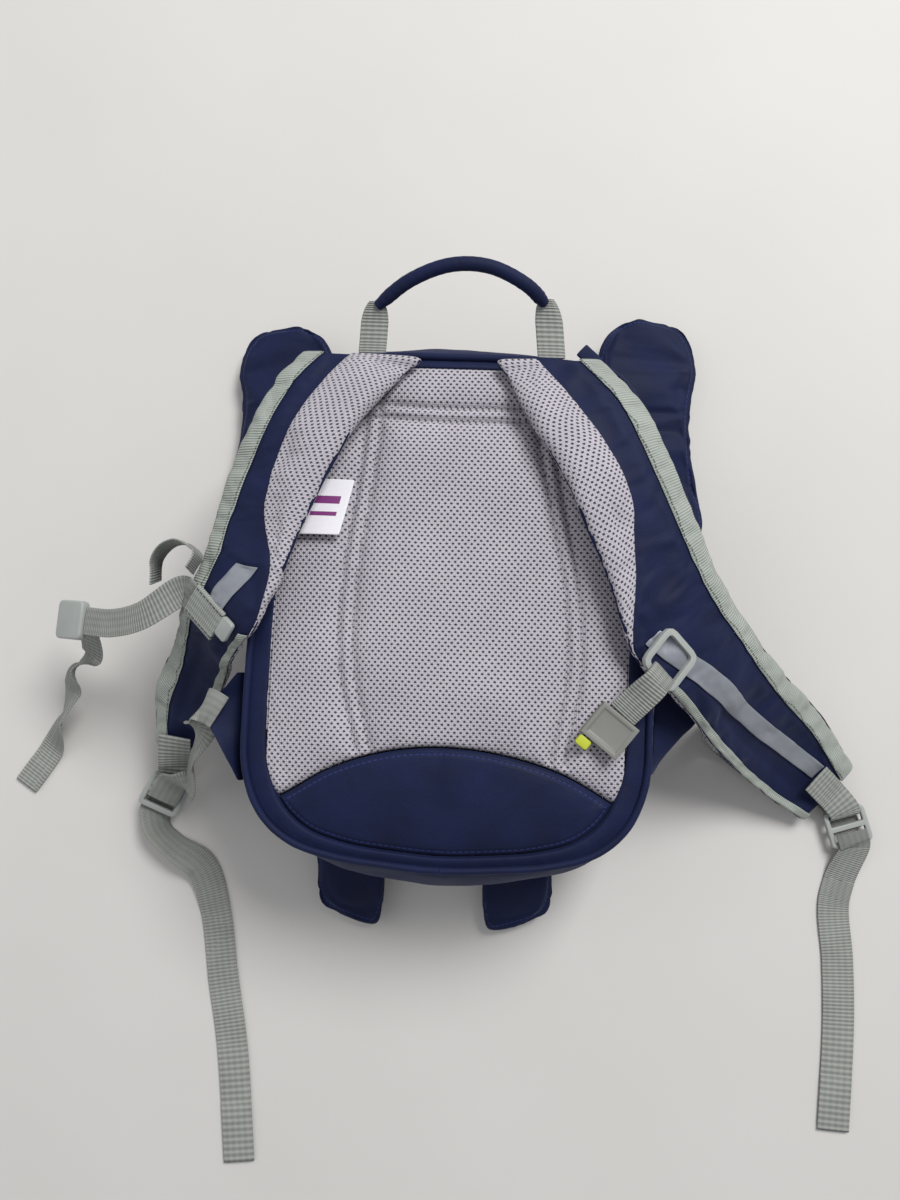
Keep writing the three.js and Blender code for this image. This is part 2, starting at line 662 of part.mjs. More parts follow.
const STRAP_LEFT_ROWS = [
  { inX: -0.19, inY: 0.97, inZ: 1.06, outX: -0.8, outY: 0.98, outZ: 1.06, thick: 0.5, mesh: 0.4 },
  { inX: -0.34, inY: 0.83, inZ: 1.13, outX: -0.93, outY: 0.85, outZ: 1.09, thick: 0.8, mesh: 0.42 },
  { inX: -0.48, inY: 0.68, inZ: 1.17, outX: -1.04, outY: 0.67, outZ: 1.1, thick: 1, mesh: 0.41 },
  { inX: -0.61, inY: 0.48, inZ: 1.17, outX: -1.13, outY: 0.49, outZ: 1.06, thick: 1, mesh: 0.44 },
  { inX: -0.72, inY: 0.28, inZ: 1.16, outX: -1.2, outY: 0.32, outZ: 1.02, thick: 1, mesh: 0.6 },
  { inX: -0.81, inY: 0.1, inZ: 1.18, outX: -1.25, outY: 0.16, outZ: 1.0, thick: 1, mesh: 0.88 },
  { inX: -0.93, inY: -0.1, inZ: 1.16, outX: -1.36, outY: -0.01, outZ: 0.92, thick: 1, mesh: 0.985 },
  { inX: -1.07, inY: -0.22, inZ: 0.98, outX: -1.43, outY: -0.11, outZ: 0.77, thick: 0.9, mesh: 0.985 },
  { inX: -1.19, inY: -0.35, inZ: 0.69, outX: -1.51, outY: -0.2, outZ: 0.62, thick: 0.9, mesh: 0.985 },
  { inX: -1.36, inY: -0.57, inZ: 0.36, outX: -1.62, outY: -0.38, outZ: 0.5, thick: 0.9, mesh: 0.985 },
  { inX: -1.53, inY: -0.76, inZ: 0.1, outX: -1.64, outY: -0.6, outZ: 0.36, thick: 0.7, mesh: 0.985 },
];

const scaled = (x, y, z) => vec(x * HALF_WIDTH, y * HALF_HEIGHT, z * PACK_DEPTH);

function strapFrame(rows, share) {
  const read = (at) => {
    const row = readRows(rows, Math.min(1, Math.max(0, at)));
    return {
      inner: scaled(row.inX, row.inY, row.inZ),
      outer: scaled(row.outX, row.outY, row.outZ),
      thick: row.thick * STRAP_THICK,
      mesh: row.mesh,
    };
  };
  const here = read(share);
  const step = 0.01;
  const middle = (edges) => edges.inner.clone().lerp(edges.outer, 0.5);
  const along = middle(read(share + step)).sub(middle(read(share - step))).normalize();
  const across = here.outer.clone().sub(here.inner);
  const width = across.length();
  across.normalize();
  const up = across.clone().cross(along).normalize();
  if (up.z < 0) {
    up.negate();
  }
  return { ...here, centre: middle(here), along, across, up, width };
}

// A point on the strap's section. Round is 0 at the outer edge, 0.5 in the middle of the top
// face, 1 at the inner edge and 1.5 in the middle of the underside; off is outside the face.
function strapPoint(rows, share, round, off) {
  const frame = strapFrame(rows, share);
  const turn = ((round % 2) + 2) % 2;
  const top = turn <= 1;
  const reach = top ? 1 - 2 * turn : 2 * turn - 3;
  const rise = Math.sqrt(Math.max(0, 1 - reach ** 4)) * (top ? 1 : -1);
  return frame.centre.clone()
    .addScaledVector(frame.across, reach * (frame.width / 2 + off))
    .addScaledVector(frame.up, rise * (frame.thick / 2 + off));
}

const HALF_ROUND = [0, 0.04, 0.16, 0.5, 0.84, 0.96];
const ROUND = [...HALF_ROUND, ...HALF_ROUND.map((at) => at + 1)];

function strapBody(rows) {
  const rings = [];
  for (let i = 0; i <= STRAP_STEPS; i += 1) {
    rings.push(ROUND.map((round) => strapPoint(rows, i / STRAP_STEPS, round, 0)));
  }
  return loft(rings);
}

// A tape or cloth laid on a strap between two steps of its length, round part of its section.
function strapSkin(rows, first, last, range, thick = SKIN) {
  const spans = [];
  for (let i = first; i <= last; i += 1) {
    spans.push(range(strapFrame(rows, i / STRAP_STEPS), (i - first) / (last - first)));
  }
  const lowest = Math.min(...spans.map(([from]) => from));
  const highest = Math.max(...spans.map(([, to]) => to));
  const all = [...ROUND.map((at) => at - 2), ...ROUND];
  const between = all.filter((at) => at > lowest + 0.01 && at < highest - 0.01);
  const tick = 0.004;
  const rings = spans.map(([from, to], index) => {
    const marks = between.map((at, k) => (
      Math.min(to - tick * (between.length - k), Math.max(from + tick * (k + 1), at))
    ));
    const samples = [from, ...marks, to];
    const share = (first + index) / STRAP_STEPS;
    const over = samples.map((at) => strapPoint(rows, share, at, SKIN_GAP + thick));
    const under = samples.map((at) => strapPoint(rows, share, at, SKIN_GAP));
    return [...over, ...under.reverse()];
  });
  return loft(rings, { cap: 'strip' });
}

const EDGE_WIDTH = 5;
const EDGE_TO = 0.972;        // the edge tape ends on the rim, where the mesh begins
const TAPE_GAP = 2;           // between the mesh and the binding on the underside

function strapSet(side, rows, reflector, edgeStart) {
  addPiece(`strap_${side}`, strapBody(rows), navyCloth);
  const mesh = strapSkin(rows, 0, STRAP_STEPS, (frame) => (
    [Math.min(0.985, frame.mesh), 2 - (BINDING_WIDTH + TAPE_GAP) / frame.width]
  ));
  addPiece(`strap_mesh_${side}`, mesh, meshCloth);
  const binding = strapSkin(rows, 0, STRAP_STEPS, (frame) => {
    const reach = BINDING_WIDTH / frame.width;
    return [-reach, reach];
  });
  addPiece(`strap_binding_${side}`, binding, greyTape);
  const edge = strapSkin(rows, edgeStart, STRAP_STEPS, (frame) => [EDGE_TO - EDGE_WIDTH / frame.width, EDGE_TO]);
  addPiece(`strap_edge_${side}`, edge, greyTape);
  const tape = strapSkin(rows, reflector.first, reflector.last, (frame, share) => {
    const at = reflector.from + (reflector.to - reflector.from) * share;
    const half = REFLECTOR_WIDTH / 2 / frame.width;
    return [at - half, at + half];
  }, 0.6);
  addPiece(`reflector_${side}`, tape, reflective);
}

strapSet('right', STRAP_RIGHT_ROWS, { first: 8, last: 15, from: 0.8, to: 0.29 }, 9);
strapSet('left', STRAP_LEFT_ROWS, { first: 8, last: 10, from: 0.62, to: 0.36 }, 10);

// A flat band of webbing through points, with the way across it at each. It never sinks
// below the floor that it lies on.
const BUNCH = 0.2;            // the least step ahead of a band's edge, inside a sharp bend

function band(points, acrosses, { width = WEB_WIDTH, thick = WEB_THICK, steps = 12 } = {}) {
  const curve = new THREE.CatmullRomCurve3(points, false, 'centripetal');
  const ways = [acrosses[0]];
  for (const way of acrosses.slice(1)) {
    const last = ways[ways.length - 1];
    ways.push(last.dot(way) < 0 ? way.clone().negate() : way);
  }
  const rings = [];
  for (let i = 0; i <= steps; i += 1) {
    const share = i / steps;
    const at = share * (ways.length - 1);
    const index = Math.min(ways.length - 2, Math.floor(at));
    const along = curve.getTangent(share);
    const across = ways[index].clone().lerp(ways[index + 1], at - index);
    across.addScaledVector(along, -across.dot(along)).setLength(width / 2);
    const up = across.clone().cross(along).setLength(thick / 2);
    const point = curve.getPoint(share);
    point.z = Math.max(point.z, Math.abs(across.z) + Math.abs(up.z));
    const corners = [
      point.clone().sub(across).sub(up),
      point.clone().add(across).sub(up),
      point.clone().add(across).add(up),
      point.clone().sub(across).add(up),
    ];
    const before = rings[rings.length - 1] ?? corners;
    corners.forEach((corner, k) => {
      const ahead = corner.clone().sub(before[k]).dot(along);
      if (i > 0 && ahead < BUNCH) {
        corner.addScaledVector(along, BUNCH - ahead);
      }
    });
    rings.push(corners);
  }
  return loft(rings, { cap: 'strip' });
}

// A ladder lock's own frame: along points away from the strap, across lies on its bars.
function lockFrame(centre, along, across) {
  const u = along.clone().normalize();
  const v = across.clone().addScaledVector(u, -across.dot(u)).normalize();
  const up = u.clone().cross(v).normalize();
  if (up.z < 0) {
    up.negate();
  }
  return {
    centre,
    along: u,
    across: v,
    up,
    at: (a, b, c) => centre.clone().addScaledVector(u, a).addScaledVector(v, b).addScaledVector(up, c),
  };
}

const LOCK_SIDE = 3;
const LOCK_WIDTH = WEB_WIDTH + 2 * LOCK_SIDE + 1;

function lockBody(frame) {
  let body = toManifold(plate(
    roundedShape(LOCK_LENGTH, LOCK_WIDTH, 4), LOCK_THICK, frame.centre, frame.along, frame.across,
  ));
  const slot = (LOCK_LENGTH - 3 * LOCK_BAR) / 2;
  for (const side of [-1, 1]) {
    const middle = frame.at(side * (slot + LOCK_BAR) / 2, 0, 0);
    const cut = new THREE.BoxGeometry(slot, WEB_WIDTH + 1, LOCK_THICK * 2);
    cut.applyMatrix4(new THREE.Matrix4().makeBasis(
      frame.along,
      frame.across,
      frame.along.clone().cross(frame.across),
    ).setPosition(middle));
    body = body.subtract(toManifold(cut));
  }
  return fromManifold(body);
}

const LOCK_END_BAR = (LOCK_LENGTH - LOCK_BAR) / 2;
const FLOOR_WEB = WEB_THICK / 2;

const WRAP_RADIUS = Math.hypot(LOCK_BAR, LOCK_THICK) / 2 + 2 * GAP + WEB_THICK / 2;
// How far under a lock's middle the lower webbing passes, clear of the end web's wrap.
const UNDER_PASS = WRAP_RADIUS + WEB_THICK + 2 * GAP;

function endWeb(side, rows, frame, start) {
  const off = SKIN_GAP + SKIN + WEB_THICK * 1.6;
  const points = [];
  const acrosses = [];
  const sign = frame.across.dot(strapFrame(rows, 1).across) < 0 ? -1 : 1;
  for (const share of [start, (1 + start) / 2, 1]) {
    points.push(strapPoint(rows, share, 0.5, off));
    acrosses.push(strapFrame(rows, share).across);
  }
  for (const degrees of [90, 45, 0, -45, -90]) {
    const angle = THREE.MathUtils.degToRad(degrees);
    points.push(frame.at(Math.cos(angle) * WRAP_RADIUS - LOCK_END_BAR, 0, Math.sin(angle) * WRAP_RADIUS));
    acrosses.push(frame.across.clone().multiplyScalar(sign));
  }
  points.push(frame.at(-LOCK_END_BAR - LOCK_BAR, 0, -WRAP_RADIUS));
  acrosses.push(frame.across.clone().multiplyScalar(sign));
  addPiece(`end_web_${side}`, band(points, acrosses, { steps: 16 }), greyTape);
}

// A tail's route, as shares of its length from the lock's outer bar. Lift is a share of the
// lock's height, 0 on the floor, and turn is the webbing's heading in degrees. Face is the
// side of the lock that it leaves on, 1 for the upper one.
function tail(side, lock, rows, length, face) {
  const start = lock.at(LOCK_END_BAR, 0, WRAP_RADIUS * face);
  const bend = WRAP_RADIUS * Math.SQRT1_2;
  const points = [
    lock.at(LOCK_BAR, 0, WRAP_RADIUS * face),
    start,
    lock.at(LOCK_END_BAR + bend, 0, bend * face),
  ];
  const acrosses = [lock.across, lock.across, lock.across];
  for (const row of rows) {
    points.push(vec(start.x + row.x * length, start.y + row.y * length, FLOOR_WEB + row.lift * start.z));
    const angle = THREE.MathUtils.degToRad(row.turn + 90);
    acrosses.push(vec(Math.cos(angle), Math.sin(angle), row.tilt));
  }
  addPiece(`tail_${side}`, band(points, acrosses, { steps: 20 }), greyTape);
}

// The lower webbing runs from the wing's tip to the lock's outer slot. Rise is a share of
// the wing's height, out a share of WEB_WIDTH, face the side of the lock that it passes, and
// lead how far above or below the lock it comes in.
function lowerWeb(side, from, lock, rows, tipAcross, face, lead) {
  const target = lock.at(LOCK_BAR, 0, (LOCK_THICK / 2 + GAP + WEB_THICK) * face);
  const points = [from];
  const acrosses = [tipAcross];
  for (const row of rows) {
    const at = from.clone().lerp(target, row.along);
    at.x += row.out * WEB_WIDTH;
    at.z = FLOOR_WEB + (from.z - FLOOR_WEB) * row.rise;
    points.push(at);
    acrosses.push(vec(row.turnX, row.turnY, row.turnZ));
  }
  points.push(
    lock.at(-LOCK_END_BAR - LOCK_BAR, 0, lead * face),
    lock.at(-LOCK_BAR, 0, UNDER_PASS * face),
    target,
  );
  acrosses.push(lock.across, lock.across, lock.across);
  addPiece(`lower_web_${side}`, band(points, acrosses, { steps: 14 }), greyTape);
}

// The middle of a wing's tip, where the lower webbing is sewn on.
const WING_TIP_ALONG = -0.355;

function wingTip({ side, shift, height, drop, reach, sewn }) {
  const z = (height - drop) * PACK_DEPTH;
  const y = (WING_TIP_ALONG + shift) * HALF_HEIGHT;
  const root = Math.max(
    sideX(y, height * PACK_DEPTH - WING_THICK),
    sideX(y, height * PACK_DEPTH + WING_THICK),
  );
  return vec(side * (root + 2 + WING_REACH * reach + sewn * GAP + WEB_THICK), y, z);
}

// Where each lock lies from its strap's end, and which way it points, in degrees.
const LOCK_REACH = 26;
const RIGHT_BEARING = THREE.MathUtils.degToRad(-56);
const RIGHT_TURN = THREE.MathUtils.degToRad(-72);
const LEFT_BEARING = THREE.MathUtils.degToRad(-107);
const LEFT_RISE = 0.13;       // of the depth: the left lock lies tilted on its edge

const rightEnd = strapFrame(STRAP_RIGHT_ROWS, 1).centre;
const rightLock = lockFrame(
  vec(
    rightEnd.x + Math.cos(RIGHT_BEARING) * LOCK_REACH,
    rightEnd.y + Math.sin(RIGHT_BEARING) * LOCK_REACH,
    UNDER_PASS + FLOOR_WEB,
  ),
  vec(Math.cos(RIGHT_TURN), Math.sin(RIGHT_TURN), 0),
  vec(-Math.sin(RIGHT_TURN), Math.cos(RIGHT_TURN), 0),
);
const leftEnd = strapFrame(STRAP_LEFT_ROWS, 1).centre;
const leftLock = lockFrame(
  vec(
    leftEnd.x + Math.cos(LEFT_BEARING) * LOCK_REACH,
    leftEnd.y + Math.sin(LEFT_BEARING) * LOCK_REACH,
    LEFT_RISE * PACK_DEPTH,
  ),
  vec(-0.45, -0.85, -0.1),
  vec(0.85, -0.4, -0.3),
);

addPiece('ladder_lock_right', lockBody(rightLock), greyPlastic);
addPiece('ladder_lock_left', lockBody(leftLock), greyPlastic);
endWeb('right', STRAP_RIGHT_ROWS, rightLock, 0.93);
endWeb('left', STRAP_LEFT_ROWS, leftLock, 0.93);
lowerWeb('left', wingTip(LEFT_WING), leftLock, [
  { along: 0.12, out: 0, rise: 0.86, turnX: 0.35, turnY: 0.2, turnZ: 0.9 },
  { along: 0.5, out: 0.3, rise: 0.55, turnX: 0.3, turnY: 0.1, turnZ: 0.85 },
  { along: 0.78, out: 0.75, rise: 0.42, turnX: 0.5, turnY: -0.3, turnZ: 0.6 },
], vec(0.6, 0.6, 0.5), 1, UNDER_PASS + 5);
lowerWeb('right', wingTip(RIGHT_WING), rightLock, [
  { along: 0.08, out: 0, rise: 0.6, turnX: 0, turnY: 1, turnZ: 0 },
  { along: 0.2, out: 0, rise: 0.1, turnX: 0.2, turnY: 0.9, turnZ: 0 },
  { along: 0.5, out: 0, rise: 0, turnX: 0.3, turnY: 0.95, turnZ: 0 },
  { along: 0.62, out: 0.9, rise: 0, turnX: 0.4, turnY: 0.9, turnZ: 0 },
  { along: 0.72, out: 1.05, rise: 0, turnX: 0.65, turnY: 0.76, turnZ: 0 },
], vec(0, 1, 0), -1, UNDER_PASS);
tail('right', rightLock, [
  { x: -0.03, y: -0.13, lift: 0, turn: -100, tilt: 0 },
  { x: -0.05, y: -0.22, lift: 0, turn: -88, tilt: 0 },
  { x: -0.035, y: -0.4, lift: 0, turn: -86, tilt: 0 },
  { x: -0.03, y: -0.62, lift: 0, turn: -90, tilt: 0 },
  { x: -0.045, y: -0.96, lift: 0, turn: -93, tilt: 0 },
], TAIL_RIGHT_LENGTH, 1);
tail('left', leftLock, [
  { x: 0, y: -0.08, lift: 0.5, turn: -85, tilt: -0.3 },
  { x: 0.08, y: -0.12, lift: 0.3, turn: -30, tilt: -0.3 },
  { x: 0.16, y: -0.18, lift: 0.1, turn: -60, tilt: -0.1 },
  { x: 0.185, y: -0.31, lift: 0, turn: -84, tilt: 0 },
  { x: 0.22, y: -0.5, lift: 0, turn: -80, tilt: 0 },
  { x: 0.26, y: -0.7, lift: 0, turn: -80, tilt: 0 },
  { x: 0.3, y: -1.02, lift: 0, turn: -84, tilt: 0 },
], TAIL_LEFT_LENGTH, -1);

// The grab handle: a webbing loop at each side of the top seam, and a round grip between.
const GRIP_ROWS = [
  { across: -0.95, rise: 0.58, lift: 0.06 },
  { across: -0.58, rise: 0.84, lift: 0.15 },
  { across: -0.14, rise: 1, lift: 0.2 },
  { across: 0.28, rise: 0.99, lift: 0.2 },
  { across: 0.68, rise: 0.82, lift: 0.15 },
  { across: 0.9, rise: 0.67, lift: 0.06 },
];

function gripPoint(row) {
  return vec(
    row.across * HANDLE_SPAN / 2,
    HALF_HEIGHT + row.rise * HANDLE_RISE,
    PACK_DEPTH * (1 + row.lift),
  );
}

function handleGrip() {
  const round = new THREE.Shape();
  round.absarc(0, 0, GRIP_RADIUS, 0, Math.PI * 2);
  const path = new THREE.CatmullRomCurve3(GRIP_ROWS.map(gripPoint), false, 'centripetal');
  return new THREE.ExtrudeGeometry(round, { steps: 14, curveSegments: 4, bevelEnabled: false, extrudePath: path });
}

function handleWeb(side) {
  const end = gripPoint(side < 0 ? GRIP_ROWS[0] : GRIP_ROWS[GRIP_ROWS.length - 1]);
  const x = side * HANDLE_SPAN / 2;
  const rootY = HALF_HEIGHT + PIPING_RADIUS - GAP;
  const tip = end.y - GRIP_RADIUS + 2 * GAP;
  const rows = [
    { y: rootY, z: 0.985, width: 1, x },
    { y: rootY + (tip - rootY) * 0.5, z: 0.985, width: 1, x: x * 1.01 },
    { y: tip - 3, z: 1.01, width: 0.85, x: x * 1.01 },
    { y: tip, z: 1.04, width: 0.5, x: end.x * 1.02 },
  ];
  const rings = rows.map((row) => {
    const half = row.width * HANDLE_WEB / 2;
    const z = row.z * PACK_DEPTH;
    return [
      vec(row.x - half, row.y, z - WEB_THICK),
      vec(row.x + half, row.y, z - WEB_THICK),
      vec(row.x + half, row.y, z + WEB_THICK),
      vec(row.x - half, row.y, z + WEB_THICK),
    ];
  });
  return loft(rings, { cap: 'strip' });
}

addPiece('handle_grip', handleGrip(), navyCloth);
addPiece('handle_web_left', handleWeb(-1), greyTape);
addPiece('handle_web_right', handleWeb(1), greyTape);

// The right half of the chest strap: a plastic frame on the shoulder strap, doubled webbing
// through it, and the socket half of the buckle with a small yellow whistle mouth.
const FRAME_SIZE = 27;
const FRAME_BAR = 3.4;
const FRAME_THICK = 3.2;
const CHEST_WEB = 17;
const SOCKET_LENGTH = 21;
const SOCKET_WIDTH = 25;
const SOCKET_THICK = 7;
const WHISTLE_SIZE = 6;
const CHEST_REACH = 27;       // webbing between the frame's bar and the socket

function chestRight() {
  const share = 0.55;
  const seat = strapFrame(STRAP_RIGHT_ROWS, share);
  const off = SKIN_GAP + SKIN + GAP + FRAME_THICK / 2;
  const centre = strapPoint(STRAP_RIGHT_ROWS, share, 0.8, off + GAP);
  const u = vec(-0.68, -0.73, 0).addScaledVector(seat.up, -vec(-0.68, -0.73, 0).dot(seat.up)).normalize();
  const v = seat.up.clone().cross(u).normalize();
  let frame = toManifold(plate(roundedShape(FRAME_SIZE, FRAME_SIZE, 6), FRAME_THICK, centre, u, v));
  const eye = plate(
    roundedShape(FRAME_SIZE - 2 * FRAME_BAR, FRAME_SIZE - 2 * FRAME_BAR, 3), FRAME_THICK * 2, centre, u, v,
  );
  frame = frame.subtract(toManifold(eye));
  addPiece('chest_frame_right', fromManifold(frame), greyPlastic);
  const bar = (FRAME_SIZE - FRAME_BAR) / 2;
  const over = FRAME_THICK / 2 + 2 * GAP + WEB_THICK;
  const start = centre.clone().addScaledVector(u, bar + FRAME_BAR * 1.2).addScaledVector(seat.up, over);
  const flat = vec(u.x, u.y, 0).normalize();
  const end = centre.clone().addScaledVector(flat, bar + CHEST_REACH);
  end.z = PACK_DEPTH + PAD_CROWN + SOCKET_THICK / 2;
  const side = vec(-flat.y, flat.x, 0);
  const lead = start.clone().addScaledVector(u, -FRAME_BAR * 2.2);
  const middle = start.clone().lerp(end, 0.55);
  const web = band([lead, start, middle, end], [v, v, side, side], { width: CHEST_WEB, thick: 2 * WEB_THICK, steps: 7 });
  addPiece('chest_web_right', web, greyTape);
  const socketAt = end.clone().addScaledVector(flat, 1 + SOCKET_LENGTH / 2);
  const socket = plate(roundedShape(SOCKET_LENGTH, SOCKET_WIDTH, 5), SOCKET_THICK, socketAt, flat, side);
  addPiece('chest_socket_right', socket, greyPlastic);
  const mouthAt = socketAt.clone()
    .addScaledVector(flat, SOCKET_LENGTH / 2 + GAP + WHISTLE_SIZE / 2)
    .addScaledVector(side, -SOCKET_WIDTH * 0.28);
  const mouth = plate(roundedShape(WHISTLE_SIZE, WHISTLE_SIZE * 1.3, 1.5), SOCKET_THICK * 0.7, mouthAt, flat, side);
  addPiece('chest_whistle_right', mouth, yellowPlastic);
}

chestRight();

// The left half: a box-stitched loop on the strap, webbing out to the plug half of the
// buckle, a standing arch of spare webbing and the twisted free tail.
const PLUG_LENGTH = 24;
const PLUG_WIDTH = 24;
const PLUG_THICK = 6;
const KEEPER_SIZE = 9;
const CHEST_ROWS = [
  { x: -0.3, y: -0.1, drop: 0.12, turn: 92 },
  { x: -0.5, y: -0.14, drop: 0.24, turn: 88 },
  { x: -0.7, y: -0.13, drop: 0.36, turn: 84 },
];
// The arch in plan, as shares of ARCH_RADIUS from its middle, at angles in degrees. Lift is
// a share of CHEST_WEB above its left end.
const ARCH_RADIUS = 15;
const ARCH_ROWS = [
  { angle: 205, reach: 1.15, lift: 0 },
  { angle: 160, reach: 1, lift: 0.2 },
  { angle: 115, reach: 0.95, lift: 0.6 },
  { angle: 70, reach: 1, lift: 1 },
  { angle: 25, reach: 1.1, lift: 1.3 },
  { angle: -10, reach: 0.8, lift: 1.4 },
];
const CHEST_TAIL_ROWS = [
  { x: -0.03, y: -0.18, lift: 0.56, turnX: 0.9, turnY: -0.2, turnZ: 0.3 },
  { x: -0.1, y: -0.24, lift: 0.6, turnX: 0.3, turnY: 0.1, turnZ: 0.9 },
  { x: -0.15, y: -0.36, lift: 0.42, turnX: 0.8, turnY: 0.1, turnZ: 0.5 },
  { x: -0.23, y: -0.53, lift: 0.26, turnX: 0.35, turnY: -0.1, turnZ: 0.9 },
  { x: -0.32, y: -0.7, lift: 0.03, turnX: 0.85, turnY: -0.5, turnZ: 0.1 },
  { x: -0.46, y: -0.92, lift: 0, turnX: 0.85, turnY: -0.55, turnZ: 0 },
];

function chestLeft() {
  const share = 0.6;
  const seat = strapFrame(STRAP_LEFT_ROWS, share);
  const off = SKIN_GAP + GAP + WEB_THICK;
  const centre = strapPoint(STRAP_LEFT_ROWS, share, 0.42, off);
  const lie = vec(-0.8, 0.55, 0);
  const u = lie.clone().addScaledVector(seat.up, -lie.dot(seat.up)).normalize();
  const v = seat.up.clone().cross(u).normalize();
  const loopLength = WEB_WIDTH * 1.25;
  const loop = plate(roundedShape(loopLength, WEB_WIDTH, 1.5), 2 * WEB_THICK, centre, u, v);
  addPiece('chest_loop_left', loop, greyTape);
  const keeperAt = centre.clone()
    .addScaledVector(u, -loopLength / 2 - GAP - KEEPER_SIZE / 2)
    .addScaledVector(v, -KEEPER_SIZE * 0.3);
  const keeper = plate(roundedShape(KEEPER_SIZE, KEEPER_SIZE * 1.4, 2), 2 * WEB_THICK, keeperAt, u, v);
  addPiece('chest_keeper_left', keeper, greyPlastic);

  const start = centre.clone().addScaledVector(u, loopLength / 2 + GAP);
  const points = [start, start.clone().addScaledVector(u, WEB_WIDTH * 0.3)];
  const acrosses = [v, v];
  for (const row of CHEST_ROWS) {
    points.push(vec(start.x + row.x * CHEST_LENGTH, start.y + row.y * CHEST_LENGTH, start.z * (1 - row.drop)));
    const angle = THREE.MathUtils.degToRad(row.turn);
    acrosses.push(vec(Math.cos(angle), Math.sin(angle), 0).multiplyScalar(v.y < 0 ? -1 : 1));
  }
  addPiece('chest_web_left', band(points, acrosses, { width: CHEST_WEB, steps: 12 }), greyTape);

  const archMiddle = start.clone().add(vec(-ARCH_RADIUS * 0.7, WEB_WIDTH * 0.5 + ARCH_RADIUS * 0.4, -WEB_WIDTH * 0.68));
  const archPoints = ARCH_ROWS.map((row) => {
    const angle = THREE.MathUtils.degToRad(row.angle);
    const reach = row.reach * ARCH_RADIUS;
    const lift = row.lift * CHEST_WEB;
    return archMiddle.clone().add(vec(Math.cos(angle) * reach, Math.sin(angle) * reach, lift));
  });
  const upright = archPoints.map(() => vec(0, 0, 1));
  addPiece('chest_arch_left', band(archPoints, upright, { width: CHEST_WEB, steps: 10 }), greyTape);

  const last = points[points.length - 1];
  const out = last.clone().sub(points[points.length - 2]).normalize();
  const side = vec(0, 0, 1).cross(out).normalize();
  const plugAt = last.clone().addScaledVector(out, 1 + PLUG_LENGTH / 2);
  const plug = plate(roundedShape(PLUG_LENGTH, PLUG_WIDTH, 4), PLUG_THICK, plugAt, out, side);
  addPiece('chest_plug_left', plug, greyPlastic);

  const down = side.clone().cross(out).normalize().multiplyScalar(PLUG_THICK / 2 + WEB_THICK * 3);
  const below = plugAt.clone().addScaledVector(down, Math.sign(-down.z));
  const tailPoints = [below.clone().addScaledVector(side, PLUG_WIDTH * 0.2), below];
  const tailAcross = [out, out];
  for (const row of CHEST_TAIL_ROWS) {
    tailPoints.push(vec(below.x + row.x * CHEST_TAIL, below.y + row.y * CHEST_TAIL, FLOOR_WEB + row.lift * below.z));
    tailAcross.push(vec(row.turnX, row.turnY, row.turnZ));
  }
  addPiece('chest_tail_left', band(tailPoints, tailAcross, { width: CHEST_WEB, steps: 20 }), greyTape);
}

chestLeft();

// The sewn label hangs from the left strap's neck-side edge onto the pad, bare of printing.
const LABEL_THICK = 0.6;
const LABEL_ACROSS = -0.61;
const LABEL_ALONG = 0.48;

function sideLabel() {
  const rings = [];
  for (const share of [0, 0.35, 0.7, 1]) {
    const y = LABEL_ALONG * HALF_HEIGHT - share * LABEL_HEIGHT;
    const middle = LABEL_ACROSS * HALF_WIDTH - share * LABEL_HEIGHT * 0.22;
    const half = LABEL_WIDTH / 2;
    const z = PACK_DEPTH + 1 + PAD_CROWN + GAP;
    rings.push([
      vec(middle - half, y, z),
      vec(middle + half, y, z),
      vec(middle + half, y, z + LABEL_THICK),
      vec(middle - half, y, z + LABEL_THICK),
    ]);
  }
  return loft(rings, { cap: 'strip' });
}

addPiece('side_label', sideLabel(), whiteSatin);

export default pack;
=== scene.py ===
# A small child's backpack lies on its front on a pale studio floor, seen from above its back.
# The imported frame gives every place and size; the looks are made here, piece by piece.
import math

import bmesh
import bpy
import numpy as np
from mathutils import Matrix, Vector, noise


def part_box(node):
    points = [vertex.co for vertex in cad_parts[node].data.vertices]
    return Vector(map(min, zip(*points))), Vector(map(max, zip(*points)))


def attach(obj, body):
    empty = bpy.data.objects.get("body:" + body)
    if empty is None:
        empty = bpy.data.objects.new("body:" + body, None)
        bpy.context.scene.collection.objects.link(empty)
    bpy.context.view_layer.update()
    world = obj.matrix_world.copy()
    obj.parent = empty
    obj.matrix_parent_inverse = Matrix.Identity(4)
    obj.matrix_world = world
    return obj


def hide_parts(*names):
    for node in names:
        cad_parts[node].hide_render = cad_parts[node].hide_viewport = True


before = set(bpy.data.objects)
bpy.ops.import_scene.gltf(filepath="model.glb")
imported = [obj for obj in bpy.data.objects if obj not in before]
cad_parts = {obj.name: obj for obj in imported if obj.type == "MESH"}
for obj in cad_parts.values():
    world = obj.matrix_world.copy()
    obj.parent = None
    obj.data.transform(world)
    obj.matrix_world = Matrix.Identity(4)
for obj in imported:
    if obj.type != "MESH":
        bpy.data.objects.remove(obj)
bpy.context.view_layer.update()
scene = bpy.context.scene

# The view: a camera held 61 cm over the floor, almost straight above the back pad, and tilted
# a little towards the handle. The lens is that of a phone held upright.
MM = 0.001
EYE = Vector((18.94, -35.52, 611.0)) * MM
SIGHT = Vector((-0.03825, 0.07941, -0.99611)).normalized()
IMAGE_RIGHT = Vector((0.99846, 0.04301, -0.03491))
LENS = 27.09

